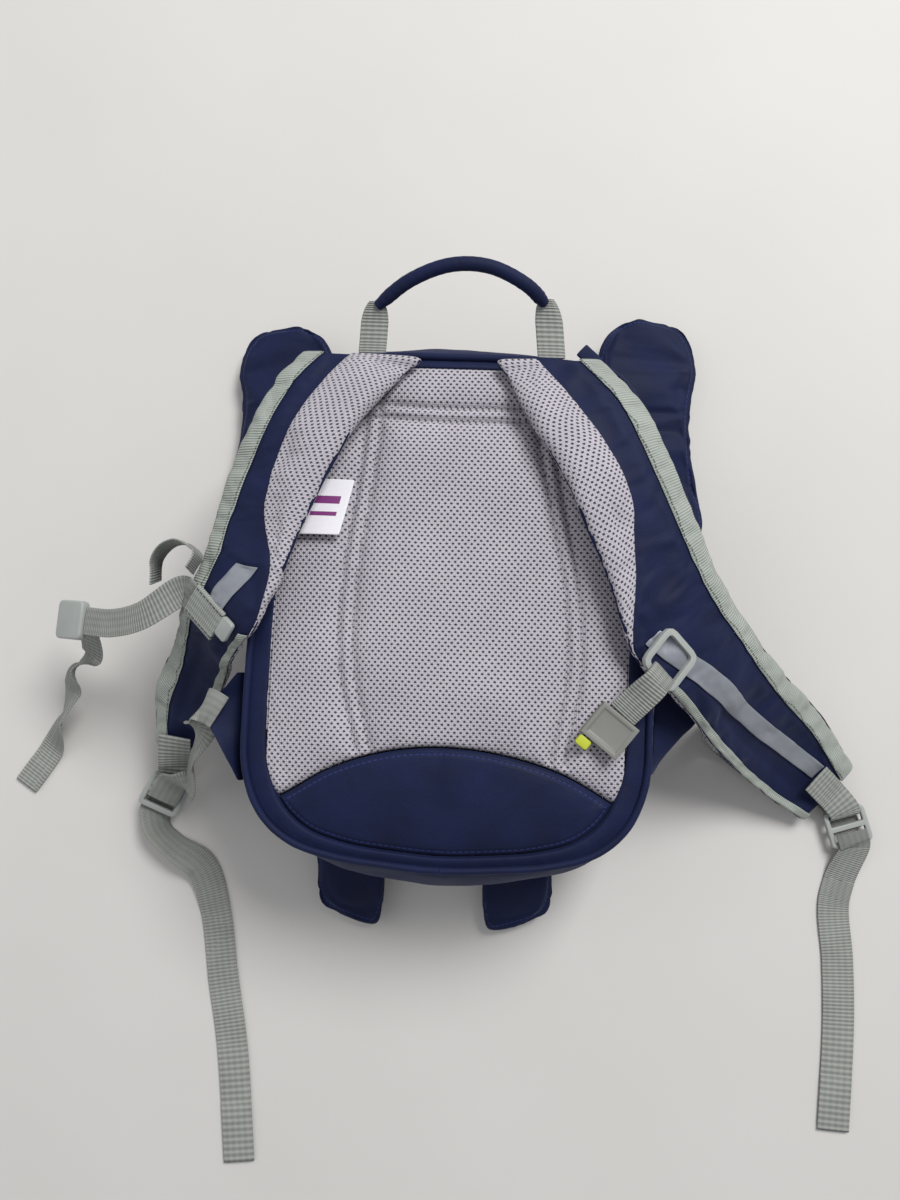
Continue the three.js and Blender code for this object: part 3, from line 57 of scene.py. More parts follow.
back = -SIGHT
image_up = back.cross(IMAGE_RIGHT).normalized()
image_right = image_up.cross(back)
camera = bpy.data.objects.new("camera", bpy.data.cameras.new("camera"))
camera.data.lens = LENS
camera.data.sensor_width = 36
view_axes = Matrix((image_right, image_up, back)).transposed().to_4x4()
camera.matrix_world = Matrix.Translation(EYE) @ view_axes
scene.collection.objects.link(camera)
scene.camera = camera

# The light: a broad window high up beyond the handle and to the right, a weaker one on the
# left, and a pale room all round.
for title, spot, width, watts in (
    ("window", (0.95, 1.35, 2.0), 1.0, 58.0),
    ("far_wall", (-1.1, 0.2, 0.9), 1.2, 2.5),
):
    lamp = bpy.data.lights.new(title, "AREA")
    lamp.size = width
    lamp.energy = watts
    lamp_object = bpy.data.objects.new(title, lamp)
    lamp_object.location = spot
    lamp_object.rotation_euler = (-Vector(spot)).to_track_quat("-Z", "Y").to_euler()
    scene.collection.objects.link(lamp_object)
world = bpy.data.worlds.new("room")
world.use_nodes = True
world.node_tree.nodes["Background"].inputs["Color"].default_value = (0.93, 0.95, 1.0, 1)
world.node_tree.nodes["Background"].inputs["Strength"].default_value = 0.4
scene.world = world
scene.view_settings.view_transform = "Standard"


# The floor: one wide plain sheet, pale and matt. A surface's finish is written as sums on the
# fields that vary over it, so the two classes for that come first.
class Field:
    """A value that changes over a surface. Sums and products of it add Math nodes."""

    def __init__(self, finish, socket):
        self.finish = finish
        self.socket = socket

    def __add__(self, other):
        return self.finish.maths("ADD", self, other)

    __radd__ = __add__

    def __mul__(self, other):
        return self.finish.maths("MULTIPLY", self, other)

    __rmul__ = __mul__

    def __sub__(self, other):
        return self.finish.maths("SUBTRACT", self, other)

    def __rsub__(self, other):
        return self.finish.maths("SUBTRACT", other, self)

    def __truediv__(self, other):
        return self.finish.maths("DIVIDE", self, other)

    def __pow__(self, other):
        return self.finish.maths("POWER", self, other)

    def __lt__(self, other):
        return self.finish.maths("LESS_THAN", self, other)

    def __gt__(self, other):
        return self.finish.maths("GREATER_THAN", self, other)

    def __abs__(self):
        return self.finish.maths("ABSOLUTE", self)

    def wave(self, pitch):
        """A soft ridge every pitch, from 0 to 1."""
        return self.finish.maths("SINE", self * (2 * math.pi / pitch)) * 0.5 + 0.5

    def within(self):
        """The part past the whole number, and the whole number itself."""
        whole = self.finish.maths("FLOOR", self)
        return self - whole, whole

    def clipped(self):
        return self.finish.add("Clamp", values={"Value": self})


class Finish:
    """One material and the nodes that draw it."""

    def __init__(self, title):
        self.material = bpy.data.materials.new(title)
        self.material.use_nodes = True
        self.tree = self.material.node_tree
        self.shader = self.tree.nodes["Principled BSDF"]

    def plug(self, socket, value):
        if isinstance(value, Field):
            self.tree.links.new(value.socket, socket)
        else:
            socket.default_value = value

    def add(self, kind, settings=None, values=None, output=0):
        node = self.tree.nodes.new("ShaderNode" + kind)
        for title, value in (settings or {}).items():
            setattr(node, title, value)
        for title, value in (values or {}).items():
            self.plug(node.inputs[title], value)
        return Field(self, node.outputs[output])

    def maths(self, operation, *values):
        return self.add("Math", {"operation": operation}, dict(enumerate(values)))

    def place(self):
        """Where the surface is, in metres."""
        return self.add("TexCoord", output="Object")

    def thread(self):
        """Across and along the cloth, in metres."""
        split = self.add("UVMap", {"uv_map": "cloth"})
        return self.part(split, "X"), self.part(split, "Y")

    def part(self, field, axis):
        return self.add("SeparateXYZ", values={"Vector": field}, output=axis)

    def cloud(self, field, scale, detail=3.0, roughness=0.5):
        values = {"Vector": field, "Scale": scale, "Detail": detail, "Roughness": roughness}
        return self.add("TexNoise", values=values)

    def blend(self, mask, low, high):
        """A colour that goes from low to high with the mask."""
        return self.add("Mix", {"data_type": "RGBA"}, {0: mask, 6: low, 7: high}, output=2)

    def bump(self, height, depth, strength):
        return self.add("Bump", values={"Height": height, "Distance": depth, "Strength": strength})

    def set(self, **values):
        for title, value in values.items():
            self.plug(self.shader.inputs[title.replace("_", " ")], value)
        return self.material


def colour(red, green, blue):
    """A colour read off a screen, from 0 to 255, in the light that it stands for."""
    def linear(channel):
        share = channel / 255
        return share / 12.92 if share < 0.04045 else ((share + 0.055) / 1.055) ** 2.4
    return (linear(red), linear(green), linear(blue), 1.0)


def new_object(title, bm):
    """An object of the scene, from a bmesh that is ready."""
    mesh = bpy.data.meshes.new(title)
    bm.to_mesh(mesh)
    bm.free()
    piece = bpy.data.objects.new(title, mesh)
    scene.collection.objects.link(piece)
    return piece


FLOOR_REACH = 2.5
FLOOR_DROP = 0.0004
pale = Finish("pale_floor")
mottle = pale.cloud(pale.place(), 6.0)
pale.set(
    Base_Color=pale.blend(mottle, colour(206, 203, 198), colour(215, 212, 208)),
    Roughness=0.75,
)
bm = bmesh.new()
bmesh.ops.create_grid(bm, x_segments=1, y_segments=1, size=FLOOR_REACH)
floor = new_object("floor", bm)
floor.data.materials.append(pale.material)
floor.location.z = -FLOOR_DROP


# The front panel and lower side: navy nylon over thin foam, sewn to the zip at its upper edge
# and lying flat on the floor under its middle. It shows as the bag's side.
PACK_WIDTH = 226
PACK_HEIGHT = 291
PACK_DEPTH = 104
SIDE_SWELL = 8
END_SWELL = 16
ROUND_THE_BAG = 200
HALF_WIDTH = PACK_WIDTH / 2
HALF_HEIGHT = PACK_HEIGHT / 2
SEAM_ROWS = (
    (0.27, -0.985), (0.53, -0.962), (0.75, -0.91), (0.9, -0.81), (0.985, -0.65), (1, -0.41),
    (0.99, 0), (0.985, 0.34), (0.965, 0.62), (0.9, 0.84), (0.77, 0.955), (0.5, 0.99),
)


def through(points, share):
    """A smooth line through points, eased so that close points make no loops."""
    at = min(max(share, 0), 1) * (len(points) - 1)
    index = min(int(at), len(points) - 2)
    mix = at - index
    p1, p2 = points[index], points[index + 1]
    p0 = points[index - 1] if index else p1 * 2 - p2
    p3 = points[index + 2] if index + 2 < len(points) else p2 * 2 - p1
    gap = max(np.linalg.norm(p2 - p1) ** 0.5, 1e-6)
    before = max(np.linalg.norm(p1 - p0) ** 0.5, 1e-6)
    after = max(np.linalg.norm(p3 - p2) ** 0.5, 1e-6)
    start = ((p1 - p0) / before - (p2 - p0) / (before + gap) + (p2 - p1) / gap) * gap
    end = ((p2 - p1) / gap - (p3 - p1) / (gap + after) + (p3 - p2) / after) * gap
    cubic = p1 * 2 - p2 * 2 + start + end
    square = p2 * 3 - p1 * 3 - start * 2 - end
    return ((cubic * mix + square) * mix + start) * mix + p1


def even(points, count):
    """As many points, evenly spaced along a line."""
    steps = np.linalg.norm(np.diff(points, axis=0), axis=1)
    run = np.concatenate(([0], np.cumsum(steps)))
    marks = np.linspace(0, run[-1], count)
    return np.stack([np.interp(marks, run, points[:, k]) for k in range(points.shape[1])], 1)


right_side = [np.array((x * HALF_WIDTH, y * HALF_HEIGHT)) for x, y in SEAM_ROWS]
left_side = [point * np.array((-1, 1)) for point in right_side][::-1]
foot_middle = np.array((0, -0.997 * HALF_HEIGHT))
top_middle = np.array((0, HALF_HEIGHT))
loop = [left_side[-1], foot_middle, *right_side, top_middle, *left_side, foot_middle, right_side[0]]
lap = 1 / (len(loop) - 1)
fine = np.array([through(loop, share) for share in np.linspace(lap, 1 - lap, 900)])
SEAM = even(fine, ROUND_THE_BAG + 1)
SEAM_LENGTH = float(np.linalg.norm(np.diff(SEAM, axis=0), axis=1).sum())


def round_the_bag(share, height, swell, inset, end_inset=None, shrink=1.0):
    """A point of the bag, a share of the way round its back seam from the base."""
    at = (share % 1.0) * ROUND_THE_BAG
    low = int(at)
    x, y = SEAM[low] + (SEAM[(low + 1) % ROUND_THE_BAG] - SEAM[low]) * (at - low)
    grow_x = swell * SIDE_SWELL - inset
    end_inset = inset if end_inset is None else end_inset
    grow_y = swell * END_SWELL * (1 - (x / HALF_WIDTH) ** 2) - end_inset
    return Vector((
        x * (1 + grow_x / HALF_WIDTH) * shrink,
        y * (1 + grow_y / HALF_HEIGHT) * shrink,
        height,
    ))


def cloth_grid(title, place, lanes, stations, size, weld=False):
    """Lays a flat grid of cloth over a shape. Place says where each point goes, in millimetres,
    for its shares across and along, and size is the cloth's own width and length."""
    bm = bmesh.new()
    bmesh.ops.create_grid(bm, x_segments=lanes, y_segments=stations, size=0.5)
    across = bm.verts.layers.float.new("across")
    along = bm.verts.layers.float.new("along")
    for vert in bm.verts:
        vert[across] = vert.co.x + 0.5
        vert[along] = vert.co.y + 0.5
    cloth = bm.loops.layers.uv.new("cloth")
    for face in bm.faces:
        for corner in face.loops:
            corner[cloth].uv = (corner.vert[across] * size[0] * MM, corner.vert[along] * size[1] * MM)
    for vert in bm.verts:
        vert.co = Vector(place(vert[across], vert[along])) * MM
    if weld:
        bmesh.ops.remove_doubles(bm, verts=bm.verts, dist=1e-6)
    return new_object(title, bm)


def close_ends(piece):
    """Fills a tube's open ends and turns its faces out."""
    bm = bmesh.new()
    bm.from_mesh(piece.data)
    rims = [edge for edge in bm.edges if edge.is_boundary]
    if rims:
        bmesh.ops.holes_fill(bm, edges=rims, sides=0)
    bmesh.ops.recalc_face_normals(bm, faces=bm.faces)
    bm.to_mesh(piece.data)
    bm.free()


def crumple(piece, depth, size, seed, weight=None):
    """Moves the cloth in and out in soft dents of about one size, all in millimetres."""
    piece.data.update()
    normals = [vert.normal.copy() for vert in piece.data.vertices]
    for vert, normal in zip(piece.data.vertices, normals):
        spot = vert.co / (size * MM) + Vector((seed * 7.1, seed * 3.7, seed * 1.3))
        dent = noise.noise(spot) + 0.5 * noise.noise(spot * 2.3)
        hold = 1.0 if weight is None else weight(vert.co / MM)
        vert.co += normal * (dent * depth * hold * MM)


def dress(piece, material, nodes, wall=0.0, levels=1, offset=-1.0):
    """Gives a piece its finish, its wall and its place in the frame."""
    piece.data.materials.append(material)
    piece.data.polygons.foreach_set("use_smooth", [True] * len(piece.data.polygons))
    if wall:
        solid = piece.modifiers.new("wall", "SOLIDIFY")
        solid.thickness = wall * MM
        solid.offset = offset
    if levels:
        soft = piece.modifiers.new("soft", "SUBSURF")
        soft.levels = levels
        soft.render_levels = levels
    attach(piece, "root")
    if nodes:
        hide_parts(*nodes)


STITCH_PITCH = 3.4
STITCH_SHARE = 0.68
STITCH_INSET = 3.2
THREAD_HALF = 0.42
FURROW_REACH = 1.7


def navy_cloth(title):
    """Close-woven nylon: dark blue, with a faint sheen, a fine grain and softly worn folds. Where
    a seam map is drawn on the piece, a row of stitches runs 3 mm inside the seam."""
    nylon = Finish(title)
    spot = nylon.place()
    worn = nylon.cloud(spot, 42.0, 3.0)
    grain = nylon.cloud(spot, 1100.0, 1.0)
    seam = nylon.add("UVMap", {"uv_map": "seam"})
    off, run = nylon.part(seam, "X"), nylon.part(seam, "Y")
    dash, _ = (run / (STITCH_PITCH * MM)).within()
    stitch = (abs(off - STITCH_INSET * MM) < THREAD_HALF * MM) * (dash < STITCH_SHARE)
    furrow = (1 - abs(off - STITCH_INSET * MM) / (FURROW_REACH * MM)).clipped()
    shade = (worn * 0.75 + grain * 0.35 - 0.1).clipped()
    cloth = nylon.blend(shade, colour(8, 13, 36), colour(22, 34, 76))
    nylon.shader.inputs["Specular IOR Level"].default_value = 0.22
    nylon.shader.inputs["Sheen Weight"].default_value = 0.06
    nylon.shader.inputs["Sheen Roughness"].default_value = 0.5
    nylon.shader.inputs["Sheen Tint"].default_value = (0.5, 0.6, 1.0, 1)
    return nylon.set(
        Base_Color=nylon.blend(stitch, cloth, colour(36, 46, 94)),
        Roughness=0.58 + worn * 0.2,
        Normal=nylon.bump(worn * 0.9 + grain * 0.16 + stitch * 0.35 - furrow * 0.7, 0.0012, 0.6),
    )


def nearest_on(lines, spots):
    """How far each spot is from the nearest of some lines of points, and how far along it."""
    near = np.full(len(spots), 1e9)
    run = np.zeros(len(spots))
    for line in lines:
        done = 0.0
        for start, end in zip(line[:-1], line[1:]):
            step = end - start
            size = float(np.linalg.norm(step))
            if size < 1e-6:
                continue
            mix = np.clip((spots - start) @ step / size ** 2, 0, 1)
            far = np.linalg.norm(spots - start - mix[:, None] * step, axis=1)
            closer = far < near
            near[closer] = far[closer]
            run[closer] = (done + mix * size)[closer]
            done += size
    return near, run


def map_seam(piece, lines):
    """Draws the seam map on a piece: how far each point is from the nearest of the sewn lines,
    and how far along it. Returns the distances, in millimetres."""
    spots = np.array([vert.co.xy for vert in piece.data.vertices]) / MM
    near, run = nearest_on(lines, spots)
    seam = piece.data.uv_layers.new(name="seam")
    for corner in piece.data.loops:
        seam.data[corner.index].uv = (near[corner.vertex_index] * MM, run[corner.vertex_index] * MM)
    return near


NAVY = navy_cloth("navy_nylon")
FRONT_PROFILE = (
    # height, swell, inset, shrink
    (0.3, 0, 30, 0.03), (0.3, 0, 30, 0.4), (0.3, 0, 30, 0.78), (0.3, 0, 30, 1), (1.6, 0, 18.6, 1),
    (6.2, 0, 8.4, 1), (14.5, 0.15, 1.8, 1), (27, 0.62, 0, 1), (43.7, 0.92, 0, 1), (61.4, 1, 0, 1),
)
front_rows = [np.array(row, float) for row in FRONT_PROFILE]


def front_place(across, along):
    height, swell, inset, shrink = through(front_rows, along)
    return round_the_bag(across, max(height, 0.3), swell, inset, None, shrink)


front = cloth_grid("front_panel", front_place, ROUND_THE_BAG, 34, (SEAM_LENGTH, 190), weld=True)
bm = bmesh.new()
bm.from_mesh(front.data)
middle = [
    edge for edge in bm.edges
    if edge.is_boundary and edge.calc_face_angle(0) == 0 and edge.verts[0].co.z < 0.01
]
bmesh.ops.holes_fill(bm, edges=middle, sides=0)
bmesh.ops.recalc_face_normals(bm, faces=bm.faces)
bm.to_mesh(front.data)
bm.free()


def face_out(piece, height):
    """Turns a piece's faces away from the middle of the bag, at a height in metres."""
    middle = Vector((0, 0, height))
    if sum(face.normal.dot(face.center - middle) for face in piece.data.polygons) < 0:
        piece.data.flip_normals()


def slack_between(low, high):
    """The cloth is loose between two heights, in millimetres, and held at both."""
    return lambda spot: max(0.0, math.sin(math.pi * min(max((spot.z - low) / (high - low), 0), 1)))


FRONT_DENTS = (
    # depth, size, seed
    (3.2, 46, 1), (1.2, 17, 2),
)
face_out(front, 0.05)
for depth, size, seed in FRONT_DENTS:
    crumple(front, depth, size, seed, slack_between(4, 60))
dress(front, NAVY, ["front_shell"], wall=1.6)

# The upper side and the narrow navy border of the back: one band from the zip to the piped
# seam, drawn a little tight by the seam so that it puckers along it.
BACK_PROFILE = (
    # height, swell, side inset, end inset
    (63.4, 1, 0, 0), (70, 0.95, 0, 0), (79, 0.82, 0, 0), (93.6, 0.4, 0, 0), (100.4, 0.1, 0.3, 0.3),
    (102.6, 0, 0.9, 0.9), (103.6, 0, 4, 3), (104.6, 0, 8, 5), (104.4, 0, 12, 7), (101.5, 0, 13, 8),
)
back_rows = [np.array(row, float) for row in BACK_PROFILE]
PUCKER_PITCH = 9.5
PUCKER_DEPTH = 0.35
PUCKER_HEIGHT = 100
PUCKER_REACH = 5.5


def back_place(across, along):
    height, swell, inset, end_inset = through(back_rows, along)
    spot = round_the_bag(across, height, swell, inset, end_inset)
    turn = across * 2 * math.pi
    shift = 3 * noise.noise(Vector((math.cos(turn), math.sin(turn), 0)) * 6)
    pucker = math.sin(turn * round(SEAM_LENGTH / PUCKER_PITCH) + shift)
    near = math.exp(-((height - PUCKER_HEIGHT) / PUCKER_REACH) ** 2)
    spot.z += PUCKER_DEPTH * pucker * near
    return spot


gusset = cloth_grid("back_band", back_place, ROUND_THE_BAG, 30, (SEAM_LENGTH, 55), weld=True)
face_out(gusset, 0.08)
crumple(gusset, 1.8, 34, 3, slack_between(64, 98))
dress(gusset, NAVY, ["back_gusset"], wall=1.4)

# The piping: a cord wrapped in the same nylon and sewn into the back seam all the way round.
PIPING_RADIUS = 2.0
PIPING_HEIGHT = 103.9


def round_tube(line, radius, around, at_share):
    """A point on a tube along a line: the ways out and up are worked out from the line."""
    share, turn = at_share
    here = Vector(line(share))
    ahead = (Vector(line(share + 0.002)) - Vector(line(share - 0.002))).normalized()
    side = ahead.cross(Vector(around)).normalized()
    over = side.cross(ahead)
    size = radius(share, turn) if callable(radius) else radius
    angle = turn * 2 * math.pi
    return here + side * math.cos(angle) * size + over * math.sin(angle) * size


def piping_place(across, along):
    wrap = PIPING_RADIUS * (1 + 0.07 * noise.noise(Vector((along * 120, across * 2, 0))))
    return round_tube(lambda s: round_the_bag(s, PIPING_HEIGHT, 0, 0.1), wrap, (0, 0, 1), (along, across))


wrap_width = 2 * math.pi * PIPING_RADIUS
piping = cloth_grid("back_cord", piping_place, 12, 420, (wrap_width, SEAM_LENGTH), weld=True)
close_ends(piping)
dress(piping, NAVY, ["back_piping"], levels=0)


# The back pad: pale spacer mesh over foam, quilted by double rows of stitches into a middle
# panel and side panels, and sewn down round its rim and along the lumbar pad's arch.
BORDER = 12.4
END_BORDER = 7.4
PAD_CROWN = 6
LUMBAR_RISE = 68
CHANNEL_PITCH = 8
SEAM_DRAW = 6.0
RIM_DRAW = 5.0
RIM_PUFF = 1.8
CUT_DEPTH = 1.7
CUT_REACH = 1.5
ARCH_ROWS = (
    (-1.02, 0.36), (-0.8, 0.55), (-0.55, 0.8), (-0.28, 0.95), (0, 1), (0.28, 0.96), (0.57, 0.83),
    (0.8, 0.63), (1.02, 0.4),
)
TOP_CHANNEL = (
    (-0.86, 0.815), (-0.62, 0.79), (-0.3, 0.768), (0, 0.762), (0.3, 0.77), (0.62, 0.79),
    (0.86, 0.815),
)
LEFT_CHANNEL = (
    (-0.43, 0.97), (-0.43, 0.75), (-0.46, 0.45), (-0.51, 0.1), (-0.5, -0.25), (-0.4, -0.56),
)
RIGHT_CHANNEL = (
    (0.41, 0.97), (0.43, 0.75), (0.52, 0.38), (0.6, 0.05), (0.62, -0.25), (0.55, -0.58),
)


def drawn(rows, count=80, shift=(0, 0)):
    """A sewn line over the back from its table of shares, in millimetres."""
    points = [np.array((x * HALF_WIDTH, y * HALF_HEIGHT)) + np.array(shift) for x, y in rows]
    return np.array([through(points, share) for share in np.linspace(0, 1, count)])


rim = np.array([
    round_the_bag(share, 0, 0, BORDER, END_BORDER).xy for share in np.linspace(0, 1, 400)
])
arch_points = [
    np.array((x * HALF_WIDTH, -HALF_HEIGHT + rise * LUMBAR_RISE)) for x, rise in ARCH_ROWS
]
arch = np.array([through(arch_points, share) for share in np.linspace(0, 1, 120)])
HALF_PITCH = CHANNEL_PITCH / 2
channels = [
    line for sign in (-1, 1) for line in (
        drawn(TOP_CHANNEL, shift=(0, sign * HALF_PITCH)),
        drawn(LEFT_CHANNEL, shift=(sign * HALF_PITCH, 0)),
        drawn(RIGHT_CHANNEL, shift=(sign * HALF_PITCH, 0)),
    )
]
top_edge = rim[rim[:, 1] > 0]
top_edge = top_edge[np.argsort(top_edge[:, 0])]
low_edge = rim[rim[:, 1] < 0]
low_edge = low_edge[np.argsort(low_edge[:, 0])]
PAD_REACH = float(rim[:, 0].max()) - 0.05


def pad_x(across):
    return PAD_REACH * math.sin((across - 0.5) * math.pi)


def quilted(title, low, high, lanes, stations, seams, puff, seed):
    """A quilted panel between two edges. It is drawn down to its seams and full between them."""
    def flat(across, along):
        x = pad_x(across)
        bottom, top = low(x), high(x)
        return Vector((x, bottom + (max(top, bottom + 0.2) - bottom) * along, 0))
    piece = cloth_grid(title, flat, lanes, stations, (1, 1))
    cloth = piece.data.uv_layers["cloth"].data
    for corner in piece.data.loops:
        spot = piece.data.vertices[corner.vertex_index].co
        cloth[corner.index].uv = (spot.x, spot.y)
    spots = np.array([vert.co.xy for vert in piece.data.vertices]) / MM
    edge, _ = nearest_on([rim], spots)
    sewn = map_seam(piece, seams)
    half = np.array((HALF_WIDTH - BORDER, HALF_HEIGHT - END_BORDER))
    away = np.minimum(1, (np.abs(spots) / half) ** 3 @ np.ones(2))
    crown = PAD_CROWN * (1 - away ** 1.3)
    full = puff * (1 - np.exp(-sewn / SEAM_DRAW)) + RIM_PUFF * (1 - np.exp(-edge / RIM_DRAW))
    cut = CUT_DEPTH * np.exp(-(sewn / CUT_REACH) ** 2)
    rises, nearer = crown + full - cut, np.minimum(sewn, edge)
    for vert, (x, y), rise, close in zip(piece.data.vertices, spots, rises, nearer):
        spot = Vector((x / 9, y / 9, seed))
        ripple = 0.55 * noise.noise(spot) * math.exp(-close / 11) + 0.9 * noise.noise(spot * 0.3)
        vert.co.z = (PACK_DEPTH + 0.2 - puff + rise + ripple * min(1, close / 2.5)) * MM
    return piece


MESH_PITCH = 3.5
MESH_ROW = 2.05
MESH_HOLE = 0.7


def spacer_mesh(title):
    """Spacer mesh: a pale lilac-grey knit with small oval holes in staggered rows. The holes are painted dark as
    shade in their depth; where the seam map says, a dark band is painted along the seam as shade in its groove, with
    stitches on it."""
    knit = Finish(title)
    across, along = knit.thread()
    spot = knit.place()
    soft = knit.cloud(spot, 30.0, 3.0)
    grain = knit.cloud(spot, 800.0, 1.0)
    up, number = (along / (MESH_ROW * MM) + (soft - 0.5) * 0.5).within()
    odd, _ = (number * 0.5).within()
    over, _ = (across / (MESH_PITCH * MM) + odd + (grain - 0.5) * 0.12).within()
    from_middle = ((over - 0.5) * (MESH_PITCH / MESH_HOLE)) ** 2 + ((up - 0.5) * (MESH_ROW / (MESH_HOLE * 0.8))) ** 2
    shaded_holes = (1.6 - from_middle).clipped()
    strands = across.wave(MESH_PITCH * MM / 3) * along.wave(MESH_ROW * MM / 2)
    seam = knit.add("UVMap", {"uv_map": "seam"})
    off, run = knit.part(seam, "X"), knit.part(seam, "Y")
    dash, _ = (run / (3.6 * MM)).within()
    line = (off > 0.00001) * (off < 0.75 * MM)
    sewn = line * (dash < 0.7)
    shade = (soft * 0.55 + strands * 0.45 + grain * 0.2).clipped()
    tint = knit.blend(shade, colour(156, 150, 160), colour(210, 205, 212))
    # Painted shade: the holes are tinted near black for the shade in their depth.
    tint = knit.blend(shaded_holes, tint, colour(62, 58, 68))
    # Painted shade: the band within 0.75 mm of a seam is darkened for the shade in the groove that the seam draws
    # down.
    tint = knit.blend(line, tint, colour(92, 88, 96))
    knit.shader.inputs["Sheen Weight"].default_value = 0.15
    relief = knit.bump(strands * 0.3 + grain * 0.35 - shaded_holes + sewn * 0.6, 0.0011, 0.8)
    return knit.set(
        Base_Color=knit.blend(sewn, tint, colour(176, 172, 178)),
        Roughness=0.86 + grain * 0.1,
        Normal=relief,
    )


MESH = spacer_mesh("lilac_spacer_mesh")


def arch_y(x):
    return float(np.interp(x, arch[:, 0], arch[:, 1]))


def top_y(x):
    return float(np.interp(x, top_edge[:, 0], top_edge[:, 1]))


def low_y(x):
    return float(np.interp(x, low_edge[:, 0], low_edge[:, 1]))


def above_arch(x):
    return max(arch_y(x) + 0.2, low_y(x))


pad = quilted("mesh_pad", above_arch, top_y, 150, 190, [*channels, arch], 4.2, 11)
dress(pad, MESH, ["back_pad"], wall=1.2, levels=0)

# The lumbar pad: the same navy nylon over foam, cut to the arch and sewn over the mesh pad's
# lower edge, with a soft crease down its middle.
def below_arch(x):
    return arch_y(x) - 0.2


lumbar = quilted("lumbar_pad_cover", low_y, below_arch, 150, 80, [arch, rim], 2.2, 29)
for vert in lumbar.data.vertices:
    x, y = vert.co.x / MM, vert.co.y / MM
    fold = math.exp(-((x + 4 - (y + 100) * 0.08) / 3.2) ** 2) * 0.5
    vert.co.z -= fold * MM
dress(lumbar, NAVY, ["lumbar_pad"], wall=1.2, levels=0)

# The zip: a coil zip round the top of the side, between the front panel and the back band, with
# a dark slider, a wire ring and a folded cloth pull at the right shoulder.
ZIP_START = 0.27
ZIP_END = 0.73
ZIP_HEIGHT = 62.4
TOOTH_PITCH = 2.2
TOOTH_SIZE = (TOOTH_PITCH * 0.62, 3.6, 1.1)
TOOTH_OUT = 1.3
TAPE_WIDTH = 6.4


def plain_plastic(title, base, rough):
    """Moulded plastic: one colour, a little worn, with the fine skin of the mould."""
    nylon = Finish(title)
    spot = nylon.place()
    skin = nylon.cloud(spot, 900.0, 2.0)
    scuff = nylon.cloud(spot, 60.0, 5.0, 0.7)
    dull = tuple(channel * 0.82 for channel in base[:3]) + (1.0,)
    return nylon.set(
        Base_Color=nylon.blend(scuff, dull, base),
        Roughness=rough + scuff * 0.18,
        Normal=nylon.bump(skin + scuff * 0.5, 0.00005, 0.8),
    )


COIL = plain_plastic("zip_nylon", colour(24, 29, 56), 0.35)


def beside_zip(share, out, height):
    return round_the_bag(ZIP_START + share * (ZIP_END - ZIP_START), height, 1, -out)


bm = bmesh.new()
zip_run = SEAM_LENGTH * 1.1 * (ZIP_END - ZIP_START)
teeth = int(zip_run / TOOTH_PITCH)
for index in range(teeth):
    share = (index + 0.5) / teeth
    here = beside_zip(share, TOOTH_OUT, ZIP_HEIGHT)
    ahead = (beside_zip(share + 0.001, TOOTH_OUT, ZIP_HEIGHT) - here).normalized()
    out = ahead.cross(Vector((0, 0, 1)))
    turned = Matrix((ahead, Vector((0, 0, 1)), out)).transposed().to_4x4()
    size = Matrix.Diagonal((*TOOTH_SIZE, 1))
    bmesh.ops.create_cube(bm, size=MM, matrix=Matrix.Translation(here * MM) @ turned @ size)
bmesh.ops.bevel(
    bm, geom=bm.edges, offset=0.3 * MM, affect="EDGES", segments=1, profile=0.5, material=-1,
)
dress(new_object("zip_coil", bm), COIL, [], levels=0)


def tape_place(across, along):
    lift = (0.35 + 0.25 * math.sin(math.pi * across)) if 0.02 < across < 0.98 else 0.25
    return beside_zip(along, lift, ZIP_HEIGHT + (across - 0.5) * TAPE_WIDTH)


tape = cloth_grid("zip_tape", tape_place, 10, 200, (TAPE_WIDTH, zip_run))
dress(tape, NAVY, ["zip_chain"], wall=0.5, levels=0, offset=0)


def moulded(title, node, material, soften, segments=3):
    """A hard piece from its solid in the frame, with its edges softened as the mould left them."""
    bm = bmesh.new()
    bm.from_mesh(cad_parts[node].data)
    bmesh.ops.remove_doubles(bm, verts=bm.verts, dist=1e-6)
    bmesh.ops.dissolve_limit(bm, angle_limit=0.02, verts=bm.verts, edges=bm.edges)
    piece = new_object(title, bm)
    edge = piece.modifiers.new("edge", "BEVEL")
    edge.width = soften * MM
    edge.segments = segments
    edge.limit_method = "ANGLE"
    edge.angle_limit = 0.6
    edge.harden_normals = False
    dress(piece, material, [node], levels=0)


DARK = Finish("dark_metal")
tarnish = DARK.cloud(DARK.place(), 140.0, 4.0)
DARK.set(
    Base_Color=DARK.blend(tarnish, colour(40, 41, 46), colour(74, 75, 80)),
    Metallic=0.85,
    Roughness=0.3 + tarnish * 0.25,
)
moulded("zip_slider_body", "zip_slider", DARK.material, 0.7)
moulded("zip_wire_ring", "zip_ring", DARK.material, 0.55)


def eased(value, power):
    """A value between -1 and 1, drawn out towards them."""
    return math.copysign(abs(value) ** power, value)


PULL_START = Vector((86.5, 154.4, 62.6))
PULL_END = Vector((72.5, 167.0, 64.0))
PULL_WIDTH = 9


def pull_place(across, along):
    turn = across * 2 * math.pi
    reach, rise = eased(math.cos(turn), 0.4), eased(math.sin(turn), 0.6)
    wide = 4.6 * (0.62 + 0.38 * min(1, along / 0.25))
    here = PULL_START.lerp(PULL_END, along)
    way = Vector((0.67, 0.74, 0))
    return here + way * reach * wide + Vector((0, 0, 1)) * (rise * 1.1 + 0.5 * math.sin(along * 5))


pull = cloth_grid("zip_cloth_pull", pull_place, 20, 20, (PULL_WIDTH, 19), weld=True)
close_ends(pull)
dress(pull, NAVY, ["zip_pull"], levels=1)


# The ears: two pads of the same nylon, sewn round their outer edge and stuffed, held along the
# sides of the front panel. They lie almost on the floor.
STUFFING_FRAMES = 20


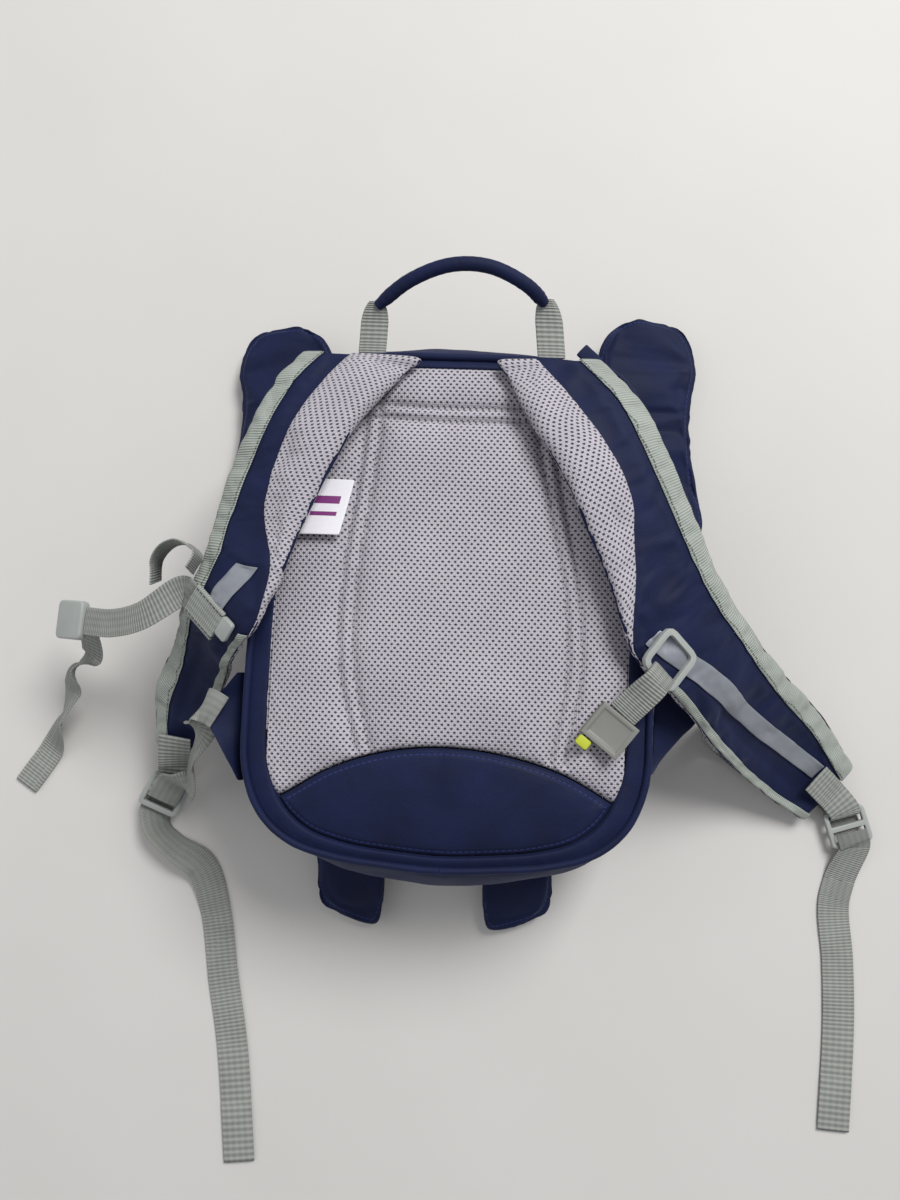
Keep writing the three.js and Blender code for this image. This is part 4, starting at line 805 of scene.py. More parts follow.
def stuff(piece, held, pressure, slack, cap):
    """Fills a sewn cover with padding. It is held along its seams, gets a little more cloth than
    its shape needs, and no point moves past cap, in millimetres."""
    sewn = piece.vertex_groups.new(name="sewn")
    sewn.add(held, 1.0, "REPLACE")
    before = np.array([vert.co for vert in piece.data.vertices])
    cover = piece.modifiers.new("cover", "CLOTH")
    cover.settings.quality = 6
    cover.settings.mass = 0.15
    cover.settings.tension_stiffness = 20
    cover.settings.compression_stiffness = 20
    cover.settings.shear_stiffness = 8
    cover.settings.bending_stiffness = 0.25
    cover.settings.vertex_group_mass = "sewn"
    cover.settings.use_pressure = True
    cover.settings.uniform_pressure_force = pressure
    cover.settings.shrink_min = -slack
    cover.settings.effector_weights.gravity = 0
    cover.collision_settings.use_collision = False
    cover.point_cache.frame_start = 1
    cover.point_cache.frame_end = STUFFING_FRAMES
    for number in range(1, STUFFING_FRAMES + 1):
        scene.frame_set(number)
    shown = piece.evaluated_get(bpy.context.evaluated_depsgraph_get())
    after = np.array([vert.co for vert in shown.data.vertices])
    move = after - before
    far = np.linalg.norm(move, axis=1)
    move *= np.minimum(1, cap * MM / np.maximum(far, 1e-9))[:, None]
    piece.modifiers.remove(cover)
    piece.vertex_groups.remove(sewn)
    for vert, spot in zip(piece.data.vertices, before + move):
        vert.co = spot
    piece.data.update()
    scene.frame_set(1)


def read_rows(rows, share):
    """A table's columns at a share of its length, smoothly between the rows."""
    at = min(max(share, 0), 1) * (len(rows) - 1)
    index = min(int(at), len(rows) - 1)
    mix = at - index
    p0 = rows[max(index - 1, 0)]
    p1 = rows[index]
    p2 = rows[min(index + 1, len(rows) - 1)]
    p3 = rows[min(index + 2, len(rows) - 1)]
    start, end = (p2 - p0) / 2, (p3 - p1) / 2
    cubic, square = (p1 - p2) * 2 + start + end, (p2 - p1) * 3 - start * 2 - end
    return ((cubic * mix + square) * mix + start) * mix + p1


def flap_point(inner, outer, thick, turn):
    """A point on a padded flap's section, pinched to the seam along its rim."""
    angle = turn * 2 * math.pi
    reach, rise = eased(math.cos(angle), 0.45), eased(math.sin(angle), 0.75)
    middle = (inner + outer) / 2
    edge = abs(reach)
    squeeze = 1 - 0.5 * max(0, (edge - 0.82) / 0.18)
    return middle + (outer - inner) / 2 * reach + Vector((0, 0, rise * thick / 2 * squeeze))


def flap_rim(place):
    """The sewn rim of a flap, seen from above: up one side and down the other."""
    marks = np.linspace(0, 1, 60)
    out = [place(0, share).xy for share in marks]
    home = [place(0.5, share).xy for share in marks[::-1]]
    return np.array([tuple(spot) for spot in out + home])


HELD_BAND = 0.0011
FLOOR_CLEARANCE = 0.0004


def fill_flap(piece, node, place, rim_height, depth, size, seed):
    """Closes a flap, holds it by its rim while it is stuffed, and dresses it. Rim_height says
    how high the rim is, in millimetres."""
    close_ends(piece)
    map_seam(piece, [flap_rim(place)])
    held = [
        vert.index for vert in piece.data.vertices
        if abs(vert.co.z - rim_height(vert.co) * MM) < HELD_BAND
    ]
    stuff(piece, held, 2.2, 0.05, 4)
    crumple(piece, depth, size, seed)
    for vert in piece.data.vertices:
        vert.co.z = max(vert.co.z, FLOOR_CLEARANCE)
    dress(piece, NAVY, [node], levels=1)


EAR_HEIGHT = 165
EAR_REACH = 45
EAR_THICK = 8
FLAP_FILL = 0.86
EAR_ROOT = 0.2 * PACK_DEPTH
EAR_TIP = 0.12 * PACK_DEPTH
EAR_FOOT = 0.27
EAR_ROWS = [np.array(row, float) for row in (
    # along, inner, outer, thick
    (0, -0.6, 0.2, 0.4), (0.03, -0.6, 0.55, 0.8), (0.09, -0.6, 0.88, 1), (0.18, -0.6, 1, 1),
    (0.32, -0.6, 0.9, 1), (0.48, -0.6, 0.8, 1), (0.6, -0.62, 0.78, 1), (0.7, -0.66, 0.8, 1),
    (0.8, -0.64, 0.85, 1), (0.89, -0.57, 0.8, 1), (0.96, -0.38, 0.66, 0.85), (1, -0.08, 0.4, 0.4),
)]
ring = np.array([round_the_bag(share, 0, 0.4, 0).xy for share in np.linspace(0, 1, 600)])
side_ring = ring[ring[:, 0] > 30]
side_ring = side_ring[np.argsort(side_ring[:, 1])]
bag_side = HALF_WIDTH + SIDE_SWELL * 0.38


def sewn_side(y):
    """Where the bag's side stands at the height of the ears' root."""
    if y > side_ring[-1, 1]:
        return -1e3
    return float(np.interp(y, side_ring[:, 1], side_ring[:, 0]))


def make_ear(title, node, side, stretch):
    def place(across, along):
        row = read_rows(EAR_ROWS, along)
        y = EAR_FOOT * HALF_HEIGHT + row[0] * EAR_HEIGHT * stretch
        inner = max(sewn_side(y) + 0.4, bag_side + row[1] * EAR_REACH)
        outer = bag_side + row[2] * EAR_REACH
        return flap_point(
            Vector((inner * side, y, EAR_ROOT)),
            Vector((outer * side, y, EAR_TIP)),
            max(row[3], 0.1) * EAR_THICK * FLAP_FILL, across,
        )

    def rim_height(spot):
        return np.interp(abs(spot.x) / MM, [bag_side - 25, bag_side + EAR_REACH], [EAR_ROOT, EAR_TIP])

    piece = cloth_grid(title, place, 40, 80, (100, EAR_HEIGHT * stretch), weld=True)
    fill_flap(piece, node, place, rim_height, 0.9, 24, 5 + side)


make_ear("ear_flap_left", "ear_left", -1, 0.93)
make_ear("ear_flap_right", "ear_right", 1, 1)

# The feet: two smaller pads made like the ears, held along the lower edge of the front panel.
FOOT_LENGTH = 49
FOOT_THICK = 8
FOOT_SHIFT = -0.06
FOOT_RUN = (150, 202)
FOOT_FALL = (20.8, 10.4)
FOOT_ROWS = [np.array(row, float) for row in (
    # across, tip, thick
    (0.28, 0.7, 0.5), (0.31, 0.95, 0.9), (0.36, 1, 1), (0.45, 0.96, 1), (0.55, 0.86, 1),
    (0.64, 0.73, 1), (0.68, 0.5, 0.5),
)]
base_ring = ring[ring[:, 1] < -60]
base_ring = base_ring[np.argsort(base_ring[:, 0])]


def make_foot(title, node, side):
    def place(across, along):
        row = read_rows(FOOT_ROWS, along)
        x = (row[0] * side + FOOT_SHIFT) * HALF_WIDTH
        root = float(np.interp(x, base_ring[:, 0], base_ring[:, 1])) - 0.4
        tip = -HALF_HEIGHT - END_SWELL * 0.4 - row[1] * FOOT_LENGTH
        return flap_point(
            Vector((x, root, 0.2 * PACK_DEPTH)),
            Vector((x, tip, 0.1 * PACK_DEPTH)),
            row[2] * FOOT_THICK * FLAP_FILL, across,
        )

    def rim_height(spot):
        return np.interp(-spot.y / MM, FOOT_RUN, FOOT_FALL)

    piece = cloth_grid(title, place, 36, 36, (110, 45), weld=True)
    fill_flap(piece, node, place, rim_height, 0.7, 18, 15 + side)


make_foot("foot_flap_left", "foot_left", -1)
make_foot("foot_flap_right", "foot_right", 1)

# The wings: folded triangles of nylon sewn into the lower sides. The lower webbing is sewn to
# their tips and pulls them out flat.
WING_REACH = 25
WING_ROWS = [np.array(row, float) for row in (
    # along, out
    (-0.2, 0.04), (-0.26, 0.45), (-0.32, 0.95), (-0.4, 1), (-0.47, 0.62), (-0.56, 0.2),
    (-0.62, 0.04),
)]


def side_at(y, height):
    """The bag's side for a height on the body, out to the right."""
    share = height / PACK_DEPTH
    swell = float(np.interp(share, [0.42, 0.6, 0.76, 0.9, 0.965], [0.92, 1, 0.82, 0.4, 0.1]))
    here = float(np.interp(y, side_ring[:, 1], side_ring[:, 0])) - 0.4 * SIDE_SWELL
    return here + swell * SIDE_SWELL


def make_wing(title, node, side, shift, height, drop, reach):
    z = height * PACK_DEPTH
    def place(across, along):
        row = read_rows(WING_ROWS, along)
        y = (row[0] + shift) * HALF_HEIGHT
        root = side_at(y, z) + 0.3
        tip = root + 2 + row[1] * WING_REACH * reach
        turn = across * 2 * math.pi
        out = eased(math.cos(turn), 0.4) * 0.5 + 0.5
        over = eased(math.sin(turn), 0.6) * 1.5
        wave = 1.1 * math.sin(along * 9 + 1.2) * out
        return Vector((
            (root + (tip - root) * out) * side, y, z - drop * PACK_DEPTH * out + over + wave,
        ))
    piece = cloth_grid(title, place, 26, 36, (50, 62), weld=True)
    close_ends(piece)
    dress(piece, NAVY, [node], levels=1)


make_wing("wing_cloth_left", "wing_left", -1, -0.08, 0.87, -0.08, 0.64)
make_wing("wing_cloth_right", "wing_right", 1, 0, 0.74, 0.08, 1)

# The shoulder straps: a padded core faced with navy nylon above and spacer mesh on the neck side
# and below. Each is sewn into the top seam and narrows to its ladder lock.
STRAP_THICK = 10
STRAP_ROUND = 0.7
STRAP_LANES = 56
STRAP_STATIONS = 120
BINDING_WIDTH = 13
EDGE_WIDTH = 5
REFLECTOR_WIDTH = 12
STRAP_RIGHT = [np.array(row, float) for row in (
    # inner x, y, z, outer x, y, z, thickness, where the mesh begins round the section
    (0.18, 0.97, 1.06, 0.7, 0.98, 1.06, 0.5, 0.61), (0.36, 0.69, 1.16, 0.9, 0.82, 1.1, 0.85, 0.55),
    (0.57, 0.41, 1.18, 1.05, 0.59, 1.1, 1, 0.48), (0.75, 0.11, 1.16, 1.19, 0.36, 1.06, 1, 0.72),
    (0.88, -0.14, 1.13, 1.32, 0.17, 0.97, 1, 0.985), (1.1, -0.3, 1.0, 1.53, -0.02, 0.79, 1, 0.985),
    (1.41, -0.52, 0.62, 1.79, -0.2, 0.55, 1, 0.985), (1.73, -0.7, 0.26, 2.08, -0.37, 0.28, 0.9, 0.985),
    (2.03, -0.83, 0.075, 2.31, -0.58, 0.08, 0.7, 0.985),
)]
STRAP_LEFT = [np.array(row, float) for row in (
    (-0.19, 0.97, 1.06, -0.8, 0.98, 1.06, 0.5, 0.4), (-0.34, 0.83, 1.13, -0.93, 0.85, 1.09, 0.8, 0.42),
    (-0.48, 0.68, 1.17, -1.04, 0.67, 1.1, 1, 0.41), (-0.61, 0.48, 1.17, -1.13, 0.49, 1.06, 1, 0.44),
    (-0.72, 0.28, 1.16, -1.2, 0.32, 1.02, 1, 0.6), (-0.81, 0.1, 1.18, -1.25, 0.16, 1.0, 1, 0.88),
    (-0.93, -0.1, 1.16, -1.36, -0.01, 0.92, 1, 0.985), (-1.07, -0.22, 0.98, -1.43, -0.11, 0.77, 0.9, 0.985),
    (-1.19, -0.35, 0.69, -1.51, -0.2, 0.62, 0.9, 0.985), (-1.36, -0.57, 0.36, -1.62, -0.38, 0.5, 0.9, 0.985),
    (-1.53, -0.76, 0.1, -1.64, -0.6, 0.36, 0.7, 0.985),
)]
BOX = np.array((HALF_WIDTH, HALF_HEIGHT, PACK_DEPTH))


def strap_frame(rows, share):
    """A strap's section: its middle, its ways across and up, its width, thickness and mesh."""
    def edges(at):
        row = read_rows(rows, at)
        return Vector(row[0:3] * BOX), Vector(row[3:6] * BOX), row[6] * STRAP_THICK, row[7]
    inner, outer, thick, mesh = edges(share)
    before, after = edges(share - 0.01), edges(share + 0.01)
    along = ((after[0] + after[1]) - (before[0] + before[1])).normalized()
    across = outer - inner
    width = across.length
    across.normalize()
    up = across.cross(along).normalized()
    if up.z < 0:
        up.negate()
    return {
        "middle": (inner + outer) / 2, "across": across, "up": up,
        "width": width, "thick": thick, "mesh": mesh,
    }


def reach_of(angle):
    """How far out a lane of the cover is: 1 at the strap's outer edge, -1 at the inner."""
    return eased(math.cos(angle), STRAP_ROUND)


def lane_of(turn):
    """The lane of the cover at a turn: 0 is the outer edge, 0.5 the middle of the top face, 1
    the inner edge and 1.5 the middle of the underside."""
    turn %= 2
    reach = 1 - 2 * turn if turn <= 1 else 2 * turn - 3
    angle = math.acos(math.copysign(min(1, abs(reach)) ** (1 / STRAP_ROUND), reach))
    return (angle if turn <= 1 else 2 * math.pi - angle) / (2 * math.pi)


class Cover:
    """A strap's stuffed cover, which the mesh, the bindings and the tapes are laid on."""

    def __init__(self, piece):
        self.spots = np.zeros((STRAP_STATIONS + 1, STRAP_LANES, 3))
        self.normals = np.zeros_like(self.spots)
        across = piece.data.attributes["across"].data
        along = piece.data.attributes["along"].data
        for vert in piece.data.vertices:
            row = round(along[vert.index].value * STRAP_STATIONS)
            lane = round(across[vert.index].value * STRAP_LANES) % STRAP_LANES
            self.spots[row, lane] = vert.co
            self.normals[row, lane] = vert.normal

    def at(self, share, turn, off):
        row = min(max(share, 0), 1) * STRAP_STATIONS
        lane = lane_of(turn) * STRAP_LANES
        low_row, low_lane = min(int(row), STRAP_STATIONS - 1), int(lane)
        mix_row, mix_lane = row - low_row, lane - low_lane
        spot, normal = np.zeros(3), np.zeros(3)
        for step_row, weight_row in ((0, 1 - mix_row), (1, mix_row)):
            for step_lane, weight_lane in ((0, 1 - mix_lane), (1, mix_lane)):
                weight = weight_row * weight_lane
                where = low_row + step_row, (low_lane + step_lane) % STRAP_LANES
                spot += weight * self.spots[where]
                normal += weight * self.normals[where]
        normal /= max(np.linalg.norm(normal), 1e-9)
        return Vector(spot / MM + normal * off)


def make_cover(title, rows, folds, seed):
    def place(across, along):
        section = strap_frame(rows, along)
        angle = across * 2 * math.pi
        reach = reach_of(angle)
        rise = math.copysign(max(0, 1 - reach ** 4) ** 0.5, math.sin(angle))
        for line, first, last, depth in folds:
            if first < along < last and rise > 0:
                hold = math.sin(math.pi * (along - first) / (last - first)) ** 0.5
                rise -= depth * hold * math.exp(-((reach - line) / 0.1) ** 2)
        return (
            section["middle"]
            + section["across"] * reach * section["width"] / 2
            + section["up"] * rise * section["thick"] / 2 * 0.93
        )
    middles = [strap_frame(rows, k / 40)["middle"] for k in range(41)]
    length = sum((after - before).length for before, after in zip(middles, middles[1:]))
    piece = cloth_grid(title, place, STRAP_LANES, STRAP_STATIONS, (110, length), weld=True)
    bm = bmesh.new()
    bm.from_mesh(piece.data)
    bmesh.ops.recalc_face_normals(bm, faces=bm.faces)
    bm.to_mesh(piece.data)
    bm.free()
    across = piece.data.attributes["across"].data
    along = piece.data.attributes["along"].data
    held = []
    for vert in piece.data.vertices:
        share = along[vert.index].value
        section = strap_frame(rows, share)
        lane = across[vert.index].value
        bound = BINDING_WIDTH / section["width"]
        for turn in (0, section["mesh"], bound, 2 - bound):
            off = abs((lane - lane_of(turn) + 0.5) % 1 - 0.5)
            if off < 0.55 / STRAP_LANES:
                held.append(vert.index)
        if share < 0.02 or share > 0.98:
            held.append(vert.index)
    stuff(piece, sorted(set(held)), 1.6, 0.04, 3)
    crumple(piece, 0.5, 15, seed, lambda spot: 1.0 if spot.z < 118 else 0.6)
    piece.data.update()
    return piece


def lay(title, cover, first, last, turns, off, thick, lanes, stations):
    """A strip of cloth laid on a strap's cover, with its edges turned down to the cover. Gives
    the strip, the size that it is cut to, and its area, in metres."""
    def place(across, along):
        share = first + (last - first) * along
        low, high = turns(share, along)
        lift = off + thick * min(1, 0.5 + min(across, 1 - across) * lanes * 0.5)
        return cover.at(share, low + (high - low) * across, lift)
    piece = cloth_grid(title, place, lanes, stations, (1, 1))
    spots = np.zeros((stations + 1, lanes + 1, 3))
    across = piece.data.attributes["across"].data
    along = piece.data.attributes["along"].data
    where = []
    for vert in piece.data.vertices:
        row = round(along[vert.index].value * stations)
        lane = round(across[vert.index].value * lanes)
        where.append((row, lane))
        spots[row, lane] = vert.co
    wide = np.cumsum(np.linalg.norm(np.diff(spots, axis=1, prepend=spots[:, :1]), axis=2), axis=1)
    wide -= wide[:, lanes // 2, None]
    run = np.cumsum(np.linalg.norm(np.diff(spots, axis=0, prepend=spots[:1]), axis=2).mean(axis=1))
    cloth = piece.data.uv_layers["cloth"].data
    for corner in piece.data.loops:
        row, lane = where[corner.vertex_index]
        cloth[corner.index].uv = (wide[row, lane], run[row])
    reach = wide[:, -1] - wide[:, 0]
    return piece, (float(reach.max()), float(run[-1])), float(reach.mean() * run[-1])


def grosgrain(title, low, high, cord=1.5, rib=4.0, stitches=()):
    """Ribbed webbing: fine cross cords over long ribs, pale grey-green, with any rows of
    stitches at their places across, in millimetres."""
    tape = Finish(title)
    across, along = tape.thread()
    long_rib = across.wave(rib * MM)
    cross = along.wave(cord * MM)
    spot = tape.place()
    soft = tape.cloud(spot, 60.0, 3.0)
    fuzz = tape.cloud(spot, 900.0, 2.0)
    height = cross * 0.7 + long_rib * 0.25 + fuzz * 0.3
    shade = (cross * 0.45 + long_rib * 0.15 + soft * 0.4).clipped()
    tint = tape.blend(shade, low, high)
    for where in stitches:
        close = abs(across - where * MM) < 0.45 * MM
        dash, _ = (along / (3.1 * MM)).within()
        seam = close * (dash < 0.72)
        tint = tape.blend(seam, tint, tuple(channel * 0.62 for channel in low[:3]) + (1.0,))
        height = height - close * 0.9 + seam * 0.5
    relief = tape.bump(height, 0.0006, 0.8)
    return tape.set(Base_Color=tint, Roughness=0.7 + fuzz * 0.15, Normal=relief)


WEBBING = grosgrain("grey_webbing", colour(108, 110, 105), colour(172, 174, 168))
STITCHED = grosgrain(
    "stitched_webbing", colour(104, 107, 102), colour(188, 192, 184), stitches=(2.2, 17.8),
)
BINDING = grosgrain(
    "grey_binding", colour(122, 128, 120), colour(180, 186, 178), 1.5, 60.0, (-14.0, 14.0),
)
REFLECTIVE = Finish("reflective_tape")
bead = REFLECTIVE.cloud(REFLECTIVE.place(), 1500.0, 1.0)
crease = REFLECTIVE.cloud(REFLECTIVE.place(), 90.0, 4.0)
REFLECTIVE.set(
    Base_Color=REFLECTIVE.blend(crease, colour(116, 120, 128), colour(158, 161, 168)),
    Roughness=0.34 + bead * 0.2,
    Metallic=0.25,
    Normal=REFLECTIVE.bump(crease + bead * 0.1, 0.0005, 0.4),
)


def dress_strap(side, rows, reflector, edge_from, folds, seed):
    cover_piece = make_cover(f"strap_core_{side}", rows, folds, seed)
    cover = Cover(cover_piece)
    close_ends(cover_piece)
    dress(cover_piece, NAVY, [f"strap_{side}"], levels=1)

    def wide(share):
        return strap_frame(rows, share)["width"]

    def mesh_turns(share, _):
        section = strap_frame(rows, share)
        return min(0.985, section["mesh"]), 2 - (BINDING_WIDTH + 1) / section["width"]

    facing, cut, area = lay(f"strap_facing_{side}", cover, 0, 1, mesh_turns, 0.3, 0.6, 30, 120)
    dress(facing, MESH, [f"strap_mesh_{side}"], levels=1, wall=0.5, offset=0)

    def binding_turns(share, _):
        reach = BINDING_WIDTH / wide(share)
        return -reach, reach

    binding, cut, area = lay(f"strap_tape_{side}", cover, 0, 1, binding_turns, 0.45, 0.75, 16, 120)
    dress(binding, BINDING, [f"strap_binding_{side}"], levels=1, wall=0.5, offset=0)

    def edge_turns(share, _):
        return 0.975 - EDGE_WIDTH / wide(share), 0.975

    edge, _, _ = lay(f"strap_inner_tape_{side}", cover, edge_from, 1, edge_turns, 0.5, 0.7, 8, 60)
    dress(edge, BINDING, [f"strap_edge_{side}"], levels=1, wall=0.5, offset=0)

    first, last, start, end = reflector

    def seen_at(share, turn):
        section = strap_frame(rows, share)
        return (section["middle"] + section["across"] * (0.5 - turn) * section["width"]).xy

    origin = seen_at(first, start)
    way = (seen_at(last, end) - origin).normalized()

    def tape_turns(share, _):
        outer, inner = way.cross(seen_at(share, 0) - origin), way.cross(seen_at(share, 1) - origin)
        at = outer / (outer - inner)
        half = REFLECTOR_WIDTH / 2 / abs(outer - inner)
        return at - half, at + half

    strip, cut, _ = lay(f"strap_reflective_{side}", cover, first, last, tape_turns, 0.65, 0.4, 10, 60)
    dress(strip, REFLECTIVE.material, [f"reflector_{side}"], levels=1, wall=0.4, offset=0)


RIGHT_FOLDS = ((-0.42, 0.6, 0.98, 0.5),)
LEFT_FOLDS = ((0.05, 0.66, 0.98, 0.55),)
dress_strap("right", STRAP_RIGHT, (0.5, 0.94, 0.8, 0.42), 0.56, RIGHT_FOLDS, 41)
dress_strap("left", STRAP_LEFT, (0.5, 0.625, 0.62, 0.45), 0.62, LEFT_FOLDS, 42)


# The webbing: flat ribbed bands, 20 mm wide, that hold the ladder locks, run from the wings to
# them and lie on as long tails with a folded end. Each row is a point, in millimetres, and the
# way across the band there.
HEM_THICKNESS = 1.5
RIPPLE_DEPTH = 0.35
RIPPLE_SIZE = 16


def band_section(across):
    """How far out and up a point of a band's section is: flat, with round edges."""
    turn = across * 2 * math.pi
    return eased(math.cos(turn), 0.35), eased(math.sin(turn), 0.5)


def span_cloth(piece, width):
    """Lays a band's own width, in millimetres, from edge to edge of both its faces."""
    cloth = piece.data.uv_layers["cloth"].data
    turned = piece.data.attributes["across"].data
    for corner in piece.data.loops:
        reach, _ = band_section(turned[corner.vertex_index].value)
        along = cloth[corner.index].uv[1]
        cloth[corner.index].uv = ((reach * 0.5 + 0.5) * width * MM, along)


def webbing(title, node, rows, width=20, thick=1.4, stations=90, hem=0.0, material=None):
    points = [np.array(row[0:3], float) for row in rows]
    ways = [np.array(row[3:6], float) for row in rows]
    line = np.array([through(points, share) for share in np.linspace(0, 1, 400)])
    length = float(np.linalg.norm(np.diff(line, axis=0), axis=1).sum())

    def place(across, along):
        here = Vector(through(points, along))
        ahead = Vector(through(points, along + 0.004) - through(points, along - 0.004)).normalized()
        at = min(max(along, 0), 1) * (len(ways) - 1)
        low = min(int(at), len(ways) - 2)
        way = Vector(ways[low] + (ways[low + 1] - ways[low]) * (at - low))
        way = (way - ahead * way.dot(ahead)).normalized()
        up = way.cross(ahead)
        reach, rise = band_section(across)
        doubled = HEM_THICKNESS if hem and along > 1 - hem / length else 1.0
        lift = up * (rise * thick / 2 * doubled)
        spot = here + way * reach * width / 2 + lift
        ripple = RIPPLE_DEPTH * noise.noise(Vector((along * length / RIPPLE_SIZE, reach, len(title))))
        spot += up * ripple
        spot.z = max(spot.z, thick / 2 * (1 + rise) * doubled * 0.98 + 0.05)
        return spot

    piece = cloth_grid(title, place, 28, 2 * stations, (1, length), weld=True)
    span_cloth(piece, width)
    close_ends(piece)
    dress(piece, material or WEBBING, [node], levels=0)


webbing("strap_end_right", "end_web_right", (
    (232.92, -92.58, 24.46, 0.64, 0.77, 0.04), (241.5, -99.69, 18.79, 0.65, 0.76, 0.02),
    (247.67, -104.81, 14.72, 0.66, 0.75, 0.01), (256.57, -114.34, 10.55, 0.95, 0.31, 0),
    (257.42, -116.98, 9.4, 0.95, 0.31, 0), (257.78, -118.07, 6.62, 0.95, 0.31, 0),
    (257.42, -116.98, 3.85, 0.95, 0.31, 0), (256.57, -114.34, 2.7, 0.95, 0.31, 0),
    (255.52, -111.1, 2.7, 0.95, 0.31, 0),
), stations=60)
webbing("strap_end_left", "end_web_left", (
    (-172.21, -83.67, 44.32, -0.59, 0.65, 0.47), (-174.71, -95.31, 35.56, -0.45, 0.64, 0.62),
    (-176.32, -103.48, 29.11, -0.33, 0.62, 0.72), (-181.03, -115.66, 18.3, -0.86, 0.42, 0.31),
    (-182.58, -117.83, 16.93, -0.86, 0.42, 0.31), (-183.74, -118.2, 14.18, -0.86, 0.42, 0.31),
    (-183.83, -116.55, 11.67, -0.86, 0.42, 0.31), (-182.8, -113.84, 10.87, -0.86, 0.42, 0.31),
    (-181.22, -110.86, 11.22, -0.86, 0.42, 0.31),
), stations=60)
webbing("low_web_left", "lower_web_left", (
    (-128.0, -64.0, 102.6, 0.5, 0.86, 0), (-133.0, -61.2, 102.8, 0.5, 0.86, 0),
    (-138.2, -60.2, 99.6, 0.5, 0.86, 0.1), (-141.0, -65.0, 91.0, 0.5, 0.75, 0.4),
    (-148.0, -80.0, 73.0, 0.45, 0.4, 0.8),
    (-156.81, -95.47, 54.66, 0.33, 0.11, 0.94), (-161.61, -113.49, 41.9, 0.6, -0.36, 0.72),
    (-177.87, -114.28, 25.28, 0.86, -0.42, -0.31), (-183.79, -122.18, 19.48, 0.86, -0.42, -0.31),
    (-187.45, -127.65, 16.67, 0.86, -0.42, -0.31),
))
webbing("low_web_right", "lower_web_right", (
    (148.8, -51.65, 68.64, 0, 1, 0), (157.76, -57.71, 41.46, 0, 1, 0),
    (171.2, -66.8, 7.49, 0.22, 0.98, 0),
    (204.8, -89.5, 0.8, 0.3, 0.95, 0), (236.2, -98.6, 0.8, 0.4, 0.9, 0),
    (250.4, -106.2, 0.8, 0.65, 0.76, 0),
    (255.52, -111.1, 0.8, 0.95, 0.31, 0), (258.7, -120.9, 0.8, 0.95, 0.31, 0),
    (260.8, -127.37, 2.92, 0.95, 0.31, 0),
))
webbing("tail_web_right", "tail_right", (
    (260.8, -127.37, 10.55, 0.95, 0.31, 0), (262.93, -133.93, 10.55, 0.95, 0.31, 0),
    (263.79, -136.57, 9.4, 0.95, 0.31, 0), (257.23, -158.63, 0.9, 0.98, -0.17, 0),
    (253.43, -175.73, 0.9, 1, 0.03, 0), (256.28, -209.93, 0.9, 1, 0.07, 0),
    (257.23, -251.73, 0.9, 1, 0, 0), (254.38, -316.33, 0.9, 1, -0.05, 0),
), stations=150, hem=14)
webbing("tail_web_left", "tail_left", (
    (-189.17, -125.89, 9.45, 0.86, -0.42, -0.31), (-192.39, -131.95, 8.74, 0.86, -0.42, -0.31),
    (-193.42, -134.66, 9.54, 0.86, -0.42, -0.31), (-191.28, -147.5, 8.6, 0.62, 0.17, -0.77),
    (-179.1, -158.6, 8.6, 0.45, 0.45, -0.77), (-161.3, -171.9, 4.2, 0.76, 0.53, -0.37),
    (-151.32, -200.77, 0.9, 0.99, 0.1, 0), (-143.55, -242.95, 0.9, 0.98, 0.17, 0),
    (-134.67, -287.35, 0.9, 0.98, 0.17, 0), (-125.79, -358.39, 0.9, 0.99, 0.1, 0),
), stations=160, hem=14)

# The ladder locks: moulded plastic frames with two slots. The webbing wraps round their bars,
# one piece from the strap above and one from the wing below.
GREY_PLASTIC = plain_plastic("grey_nylon", colour(168, 172, 168), 0.36)
moulded("lock_right", "ladder_lock_right", GREY_PLASTIC, 0.7)
moulded("lock_left", "ladder_lock_left", GREY_PLASTIC, 0.7)

# The grab handle: a soft round grip covered in navy nylon, gathered at both ends into a short
# loop of webbing that is sewn into the top seam.
HANDLE_SPAN = 104
HANDLE_RISE = 45
GRIP_RADIUS = 4
HANDLE_WEB = 16
HANDLE_WEB_LENGTH = 26
HANDLE_WEB_ROWS = (
    # share of the way to the grip, lift, swing towards the grip
    (0, -2.2, 0), (0.25, -1.4, 0.2), (0.6, 1.2, 0.5), (0.85, 4.2, 0.8), (1, 6.2, 1),
)
GRIP_ROWS = [np.array(row, float) for row in (
    (-0.95, 0.58, 0.06), (-0.58, 0.84, 0.15), (-0.14, 1, 0.2), (0.28, 0.99, 0.2), (0.68, 0.82, 0.15),
    (0.9, 0.67, 0.06),
)]
grip_line = [
    np.array((x * HANDLE_SPAN / 2, HALF_HEIGHT + rise * HANDLE_RISE, PACK_DEPTH * (1 + lift)))
    for x, rise, lift in GRIP_ROWS
]


def grip_place(across, along):
    def thickness(share, turn):
        end = min(share, 1 - share)
        gather = 0.72 + 0.28 * min(1, end / 0.07)
        folds = math.sin(share * 150 + 2 * math.sin(turn * 6.28))
        ruck = 0.022 * folds * (0.4 + math.exp(-end / 0.12))
        seam = 0.14 * math.exp(-((turn - 0.75) / 0.03) ** 2)
        return GRIP_RADIUS * (gather + ruck - seam)
    return round_tube(lambda s: through(grip_line, s), thickness, (0, 0, 1), (along, across))


grip = cloth_grid("grip_cover", grip_place, 28, 150, (26, 130), weld=True)
close_ends(grip)
dress(grip, NAVY, ["handle_grip"], levels=1)


